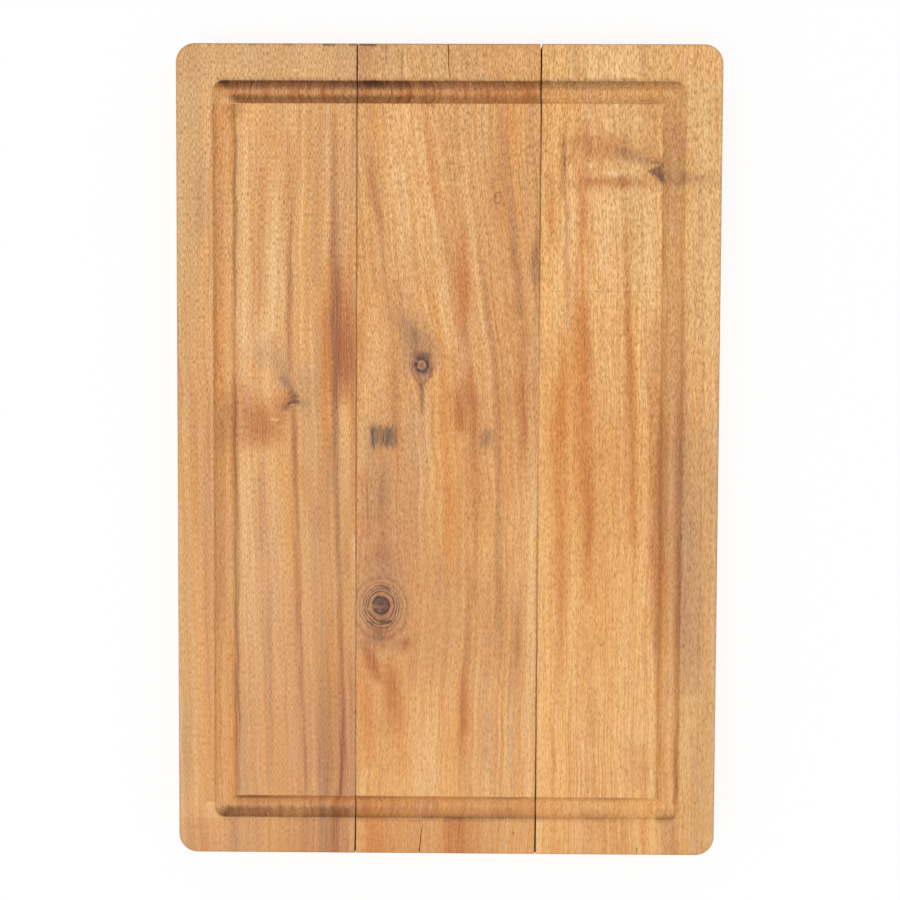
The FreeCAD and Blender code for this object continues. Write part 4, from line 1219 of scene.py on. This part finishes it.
MARKS = {
    "plank_left": [
        ("brown", -115.4, 45.0, -113.0, 42.0, 3.4, 0.55),
        ("brown", -114.0, 40.5, -112.4, 37.5, 3.2, 0.5),
        ("brown", -117.2, 36.9, -111.0, 38.6, 1.3, 0.7),
        ("brown", -120.5, 34.0, -117.4, 35.8, 2.6, 0.65),
        # A painted glint: a highlight beside the knot.
        ("pale", -116.4, 35.2, -113.4, 36.2, 0.6, 0.3),
        ("smoke", -110.0, 37.0, -104.0, 36.5, 2.0, 0.35),
        ("smoke", -121.5, 56.0, -118.6, 51.0, 3.4, 0.45),
        # A painted glint: a highlight below the knot.
        ("pale", -129.6, 25.0, -126.0, 24.4, 0.7, 0.5),
        ("red", -124.5, 34.0, -121.0, 25.0, 3.4, 0.45),
        ("brown", -145.0, 299.0, -142.0, 298.6, 0.9, 0.6),
        ("black", -91.0, 299.0, -84.0, 299.0, 1.3, 0.7),
        ("black", -72.0, 299.0, -68.5, 299.0, 1.3, 0.7),
        ("brown", -120.0, 299.0, -115.0, 299.0, 1.1, 0.5),
        # A painted glint: a highlight in the groove's back left corner.
        ("pale", -147.5, 262.0, -147.0, 259.5, 1.0, 0.5),
        ("black", -171.5, -266.0, -168.0, -270.5, 1.2, 0.6),
        ("black", -168.0, -270.5, -161.0, -271.5, 1.0, 0.5),
        ("black", -67.5, -192.0, -67.5, -194.0, 0.7, 0.9),
    ],
    "plank_middle": [
        ("black", -61.0, 271.6, -49.0, 271.2, 1.7, 0.75),
        ("brown", -46.0, 299.0, -46.3, 285.0, 0.35, 0.7),
        ("brown", -34.2, 297.0, -34.6, 271.0, 0.35, 0.6),
        ("black", -64.0, 299.0, -54.0, 299.0, 1.3, 0.7),
        ("brown", 50.0, -283.6, 50.2, -284.4, 0.9, 0.5),
        ("smoke", -32.0, 97.0, -22.0, 88.0, 8.0, 0.15),
        ("smoke", -24.0, 86.0, -15.0, 78.0, 7.0, 0.2),
        ("brown", -24.5, 90.0, -22.4, 79.0, 2.6, 0.25),
        ("brown", -24.5, 73.5, -14.5, 72.5, 3.0, 0.45),
        ("brown", -12.0, 63.0, -12.8, 57.5, 1.4, 0.5),
        ("brown", -13.0, 57.0, -18.0, 51.0, 1.2, 0.4),
        ("brown", -24.5, 57.5, -20.6, 50.5, 1.1, 0.3),
        ("brown", -19.6, 51.0, -19.2, 30.0, 1.3, 0.38),
        ("brown", -17.0, 257.5, -11.0, 254.5, 1.8, 0.35),
        ("brown", 33.8, 190.0, 33.8, 186.0, 0.9, 0.45),
        ("brown", 38.4, 190.0, 38.4, 186.0, 0.9, 0.45),
        ("brown", 34.6, 192.0, 37.6, 192.0, 0.8, 0.45),
        ("brown", 34.6, 184.2, 37.6, 184.2, 0.8, 0.45),
        ("black", -59.0, -124.6, -55.5, -127.0, 0.9, 0.5),
        ("black", -49.0, -125.8, -41.5, -125.0, 1.2, 0.6),
        ("brown", -48.5, -98.5, -43.5, -100.5, 1.3, 0.7),
        ("smoke", -51.0, -131.0, -48.5, -139.0, 1.6, 0.4),
        ("red", -64.5, -19.5, -60.5, -24.0, 0.8, 0.4),
        ("red", -64.5, -27.0, -60.5, -32.0, 0.8, 0.35),
    ],
    "plank_right": [
        ("brown", 147.6, 207.6, 156.0, 211.4, 2.0, 0.75),
        ("red", 148.0, 217.4, 156.0, 217.0, 1.4, 0.6),
        ("brown", 149.0, 214.6, 156.5, 213.8, 1.6, 0.5),
        ("smoke", 126.0, 222.0, 145.0, 214.5, 3.6, 0.35),
        ("brown", 152.2, 206.4, 155.4, 206.0, 3.6, 0.85),
        ("brown", 154.6, 203.2, 156.4, 201.4, 2.6, 0.8),
        ("smoke", 160.0, 206.0, 170.0, 204.0, 6.0, 0.35),
        ("red", 127.0, 202.0, 129.0, 198.5, 3.4, 0.6),
        ("red", 104.0, 201.0, 110.0, 200.0, 2.6, 0.4),
        ("pale", 117.5, 206.5, 122.5, 206.0, 2.6, 0.45),
        ("brown", 171.0, 206.2, 171.0, 199.0, 1.7, 0.45),
        ("black", 191.0, 287.2, 191.2, 286.8, 0.7, 0.7),
        ("brown", 187.0, 295.2, 187.2, 294.8, 0.6, 0.6),
        ("brown", 142.4, -294.4, 142.4, -298.6, 0.5, 0.7),
        ("brown", 75.0, 120.3, 157.0, 119.8, 0.3, 0.25),
        ("brown", 80.0, 92.4, 150.0, 91.8, 0.3, 0.2),
        ("black", 157.0, -271.5, 163.0, -271.5, 1.1, 0.5),
        ("black", 173.0, -60.0, 173.2, -62.0, 0.8, 0.5),
        ("black", 172.6, -119.5, 172.8, -123.0, 0.7, 0.35),
        ("black", 175.4, -130.0, 175.6, -133.0, 0.7, 0.35),
        ("black", 175.4, -141.0, 175.6, -143.0, 0.8, 0.45),
        ("brown", 181.5, -210.5, 184.0, -211.5, 1.4, 0.25),
    ],
}

# %% [markdown]
# Now the finish itself. First come the noises that make the wood's own tone and hue, each with
# the size of its grains in mm: across the fibres, along them and down. Then come the layers over
# it, from the first laid down to the last: the figure, the soaked oil, the knots, the small
# marks, a few of which are painted glints, the iron stains, and the scorch, the glue and the
# rim, where the scorch and the glue also carry painted shade. Each layer is a colour and a
# share, and mixes the wood towards its colour. A fibre noise breaks up the edges of the figure,
# so a stroke frays along the grain as real figure does, and a finer one breaks the scorch up
# along the cut fibres. The fine pores, painted as their glints and shade and the dust in them,
# and a low relief come last.

# %% The finish of one plank
BAND = (13.0, 420.0, 24.0)
STREAK = (3.2, 130.0, 7.0)
FIBRE = (0.85, 60.0, 2.0)
DRIFT = (22.0, 160.0, 30.0)
TINT = (2.6, 40.0, 4.0)
GRAIN = (0.75, 3.0, 1.0)
# The pores' swing in each channel, equal in sRGB, for their painted light and shade.
GRAIN_SWING = (0.6, 0.81, 1.24)
KNOT_BEND = (7.0, 7.0, 30.0)
KNOT_BEND_SHARE = 0.09
KNOT_RIPPLE = (2.0, 2.0, 30.0)
KNOT_RIPPLE_SHARE = 0.02
KNOT_BREAK = (5.0, 4.0, 30.0)
MARK_FRAY = (1.6, 2.6, 9.0)
MARK_RAGGED = 1.2
MARK_CORE = 0.1
MARK_EDGE = 1.55
IRON_LINES = (1.3, 20.0, 9.0)
CUT_FIBRES = (1.3, 14.0, 5.0)
FIBRE_SHARE = {"plank_left": 0.9, "plank_middle": 1.0, "plank_right": 1.7}
RINGS_WIDE = 9.0
RINGS_NARROW = 2.4
WIDE_FADING = (9.0, 240.0, 9.0)
NARROW_FADING = (4.0, 130.0, 4.0)
PORE_RELIEF = 0.2
SHEEN = 0.52
OIL_IOR = 1.46
SEED_STEP = 7.3
PITH = {
    "plank_left": (60.0, -90.0),
    "plank_middle": (-170.0, -70.0),
    "plank_right": (-30.0, -60.0),
}


def set_stops(ramp, stops):
    """Gives a colour ramp its stops: a place from 0 to 1, a colour and an alpha for each."""
    elements = ramp.color_ramp.elements
    elements.remove(elements[1])
    for i, (at, hex_colour, alpha) in enumerate(stops):
        stop = elements[0] if i == 0 else elements.new(at)
        stop.position, stop.color = at, (*linear(hex_colour)[:3], alpha)


def acacia(name, seed):
    """Oiled acacia for one plank. It gives the eye a warm honey with a soft, even sheen."""
    material = bpy.data.materials.new(name.replace("plank", "oiled_acacia"))
    material.use_nodes = True
    tree = material.node_tree
    tree.nodes.clear()

    # Two places in mm: one in the tree, which the knots bend, and one on the board.
    place = add(tree, "ShaderNodeAttribute", attribute_name="tree").outputs["Vector"]
    on_board = add(tree, "ShaderNodeTexCoord").outputs["Object"]
    board = add(tree, "ShaderNodeVectorMath", {0: on_board, "Scale": 1 / MM}, operation="SCALE")
    steps = itertools.count()

    def pattern(vector, size, detail=0.0, roughness=0.5):
        """Noise about 0, with grains of a size in mm: across the fibres, along them and down."""
        shift = 17.3 * next(steps) + seed
        held = add(tree, "ShaderNodeMapping", {"Vector": vector, "Location": (shift, shift, seed),
                                               "Scale": tuple(1 / s for s in size)})
        noise = add(tree, "ShaderNodeTexNoise", {"Vector": held, "Scale": 1.0, "Detail": detail,
                                                 "Roughness": roughness})
        return add(tree, "ShaderNodeMath", {0: noise, 1: -0.5}, operation="ADD")

    def combined(start, *parts):
        """start + the sum of value * weight over the parts."""
        for value, weight in parts:
            start = add(tree, "ShaderNodeMath", {0: value, 1: weight, 2: start},
                        operation="MULTIPLY_ADD")
        return start

    def rings(width, fading):
        """Growth rings of a mean width: one random lightness and one random warmth for each
        ring, both about 0, and coming and going along the board."""
        wound = add(tree, "ShaderNodeMath", {0: from_pith, 1: 1 / width}, operation="MULTIPLY")
        cell = add(tree, "ShaderNodeTexVoronoi", {"W": wound, "Smoothness": 0.35},
                   voronoi_dimensions="1D", feature="SMOOTH_F1").outputs["Color"]
        about = add(tree, "ShaderNodeVectorMath", {0: cell, 1: (-0.5, -0.5, -0.5)}, operation="ADD")
        share = combined(0.7, (pattern(place, fading, 1.0), 2.0))
        faded = add(tree, "ShaderNodeVectorMath", {0: about, "Scale": share}, operation="SCALE")
        return add(tree, "ShaderNodeSeparateXYZ", {0: faded})

    # The wood's own tone, from 0 at its darkest to 1 at its palest, and its hue, from 0 for warm
    # to 1 for cool. Each noise comes with a weight, which is how far it moves them.
    section = add(tree, "ShaderNodeVectorMath", {0: place, 1: (1, 0, 1)}, operation="MULTIPLY")
    pith_x, pith_z = PITH[name]
    from_pith = add(tree, "ShaderNodeVectorMath", {0: section, 1: (pith_x, 0, pith_z)},
                    operation="DISTANCE").outputs["Value"]
    wide, narrow = rings(RINGS_WIDE, WIDE_FADING), rings(RINGS_NARROW, NARROW_FADING)
    fibre = pattern(place, FIBRE, 1.0)
    tone = combined(LIGHTNESS[name], (pattern(place, BAND, 1.0), 0.5),
                    (pattern(place, STREAK, 2.0, 0.6), 0.8), (fibre, FIBRE_SHARE[name]),
                    (wide.outputs["X"], 0.3), (narrow.outputs["X"], 0.4))
    hue = combined(COOLNESS[name], (pattern(place, DRIFT, 1.0), 1.4),
                   (pattern(place, TINT, 1.0), 1.0), (wide.outputs["Y"], 0.6),
                   (narrow.outputs["Y"], 0.8))
    warm = add(tree, "ShaderNodeValToRGB", {0: tone})
    cool = add(tree, "ShaderNodeValToRGB", {0: tone})
    set_stops(warm, WARM)
    set_stops(cool, COOL)
    layers = [(cool.outputs["Color"], hue)]

    # The figure, frayed along the fibres.
    fray = combined(1.0, (fibre, 1.8), (pattern(place, STREAK, 1.0), 0.8))
    for kind, target in FIGURE_COLOURS.items():
        stored = add(tree, "ShaderNodeAttribute", attribute_name=kind).outputs["Fac"]
        share = add(tree, "ShaderNodeMath", {0: stored, 1: fray}, operation="MULTIPLY")
        layers.append((linear(target), share))

    # Oil in the cut ends of the fibres, more of it in the soft wood of each year.
    soak = add(tree, "ShaderNodeAttribute", attribute_name="soak").outputs["Fac"]
    thirst = combined(1.0, (wide.outputs["X"], 1.8), (narrow.outputs["X"], 1.4))
    share = add(tree, "ShaderNodeMath", {0: soak, 1: thirst}, operation="MULTIPLY")
    layers.append((linear(SOAKED), share))

    # The knots: ring is the distance from the pith, bent by two noises.
    for (x, y), (stretch_x, stretch_y), lean, reach, stops in RINGS[name]:
        away = add(tree, "ShaderNodeVectorMath", {0: board, 1: (x, y, 0)}, operation="SUBTRACT")
        drawn = add(tree, "ShaderNodeVectorMath", {0: away, 1: (stretch_x, stretch_y, 0)},
                    operation="MULTIPLY")
        radius = add(tree, "ShaderNodeVectorMath", {0: drawn}, operation="LENGTH").outputs["Value"]
        height = add(tree, "ShaderNodeSeparateXYZ", {0: drawn}).outputs["Y"]
        ring = combined(radius, (height, lean),
                        (pattern(board, KNOT_BEND), KNOT_BEND_SHARE * reach),
                        (pattern(board, KNOT_RIPPLE), KNOT_RIPPLE_SHARE * reach))
        share = add(tree, "ShaderNodeMath", {0: ring, 1: reach}, operation="DIVIDE")
        ramp = add(tree, "ShaderNodeValToRGB", {0: share})
        set_stops(ramp, [(at / reach, hex_colour, strength) for at, hex_colour, strength in stops])
        broken = combined(1.0, (pattern(board, KNOT_BREAK, 1.0), 1.8))
        share = add(tree, "ShaderNodeMath", {0: ramp.outputs["Alpha"], 1: broken},
                    operation="MULTIPLY")
        layers.append((ramp.outputs["Color"], share))

    # Small marks: off is the distance from the line between a mark's two ends. A point's place
    # along that line is its dot product with the run, over the run's length squared.
    for kind, x0, y0, x1, y1, half, strength in MARKS[name]:
        start, run = (x0, y0, THICKNESS), (x1 - x0, y1 - y0, 0.0)
        squared = run[0] ** 2 + run[1] ** 2
        away = add(tree, "ShaderNodeVectorMath", {0: board, 1: start}, operation="SUBTRACT")
        along = add(tree, "ShaderNodeVectorMath",
                    {0: away, 1: tuple(step / squared for step in run)},
                    operation="DOT_PRODUCT").outputs["Value"]
        held = add(tree, "ShaderNodeClamp", {0: along})
        near = add(tree, "ShaderNodeVectorMath", {0: run, "Scale": held}, operation="SCALE")
        off = add(tree, "ShaderNodeVectorMath", {0: away, 1: near}, operation="DISTANCE")
        frayed = combined(off.outputs["Value"], (pattern(board, MARK_FRAY), MARK_RAGGED * half))
        share = add(tree, "ShaderNodeMapRange",
                    {"Value": frayed, "From Min": MARK_CORE * half, "From Max": MARK_EDGE * half,
                     "To Min": strength, "To Max": 0.0}, interpolation_type="SMOOTHSTEP")
        layers.append((linear(MARK_COLOURS[kind]), share))

    # Iron stains, darker along some fibres than along others.
    iron = add(tree, "ShaderNodeAttribute", attribute_name="iron").outputs["Fac"]
    lines = combined(0.76, (pattern(board, IRON_LINES, 1.0), 1.5))
    share = add(tree, "ShaderNodeMath", {0: iron, 1: lines}, operation="MULTIPLY")
    layers.append((linear(IRON), share))

    # The scorch with the painted shade of the groove, the glue with the painted shade in the opened
    # gaps, and the rim. Only the scorch and its painted shade break up along the cut fibres.
    cut = combined(1.0, (pattern(place, CUT_FIBRES, 2.0, 0.6), 0.9))
    for kind, target, weight, spread in (("scorch_and_shade", SCORCH_AND_SHADE, 0.95, cut), ("glue_and_gap_shade", GLUE_AND_GAP_SHADE, 0.9, 1.0),
                                         ("rim", RIM, 0.35, 1.0)):
        stored = add(tree, "ShaderNodeAttribute", attribute_name=kind).outputs["Fac"]
        held = combined(0.0, (stored, weight))
        share = add(tree, "ShaderNodeMath", {0: held, 1: spread}, operation="MULTIPLY")
        layers.append((linear(target), share))

    # Each layer goes over all those before it.
    colour = warm.outputs["Color"]
    for layer, share in layers:
        colour = add(tree, "ShaderNodeMix", {"Factor": share, "A": colour, "B": layer},
                     data_type="RGBA", clamp_factor=True)

    # The fine pores, painted as their glints and shade and the dust in them, a little stronger
    # towards the back, then the sheen and the relief.
    split = add(tree, "ShaderNodeSeparateXYZ", {0: board})
    coarse = add(tree, "ShaderNodeMapRange",
                 {"Value": split.outputs["Y"], "From Min": -HALF_LENGTH, "From Max": HALF_LENGTH,
                  "To Min": 0.7, "To Max": 1.5})
    grain = pattern(board, GRAIN)
    deeper = combined(coarse, (grain, -0.6))
    pore_light_and_shade = add(tree, "ShaderNodeMath", {0: grain, 1: deeper}, operation="MULTIPLY")
    gain = add(tree, "ShaderNodeVectorMath", {0: pore_light_and_shade, 1: GRAIN_SWING, 2: (1, 1, 1)},
               operation="MULTIPLY_ADD")
    grained = add(tree, "ShaderNodeVectorMath", {0: colour, 1: gain}, operation="MULTIPLY")

    sheen = combined(SHEEN, (fibre, 0.25), (grain, -0.1))
    relief = combined(0.0, (grain, 0.6), (fibre, 0.4))
    bump = add(tree, "ShaderNodeBump",
               {"Height": relief, "Strength": 0.25, "Distance": PORE_RELIEF * MM})
    wood = add(tree, "ShaderNodeBsdfPrincipled",
               {"Base Color": grained, "Roughness": sheen, "IOR": OIL_IOR,
                "Specular IOR Level": 0.4, "Normal": bump})
    add(tree, "ShaderNodeOutputMaterial", {"Surface": wood})
    return material


for number, (name, plank) in enumerate(planks.items()):
    plank.data.materials.append(acacia(name, SEED_STEP * number))
    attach(plank, "root")
    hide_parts(name)
    print(plank.data.materials[0].name, len(plank.data.materials[0].node_tree.nodes), "nodes")

# %% [markdown]
# ## The view transform
#
# The dressed board has to fill the same box as the CAD model. Colours are shown through the
# Standard view transform.

bpy.context.scene.view_settings.view_transform = "Standard"
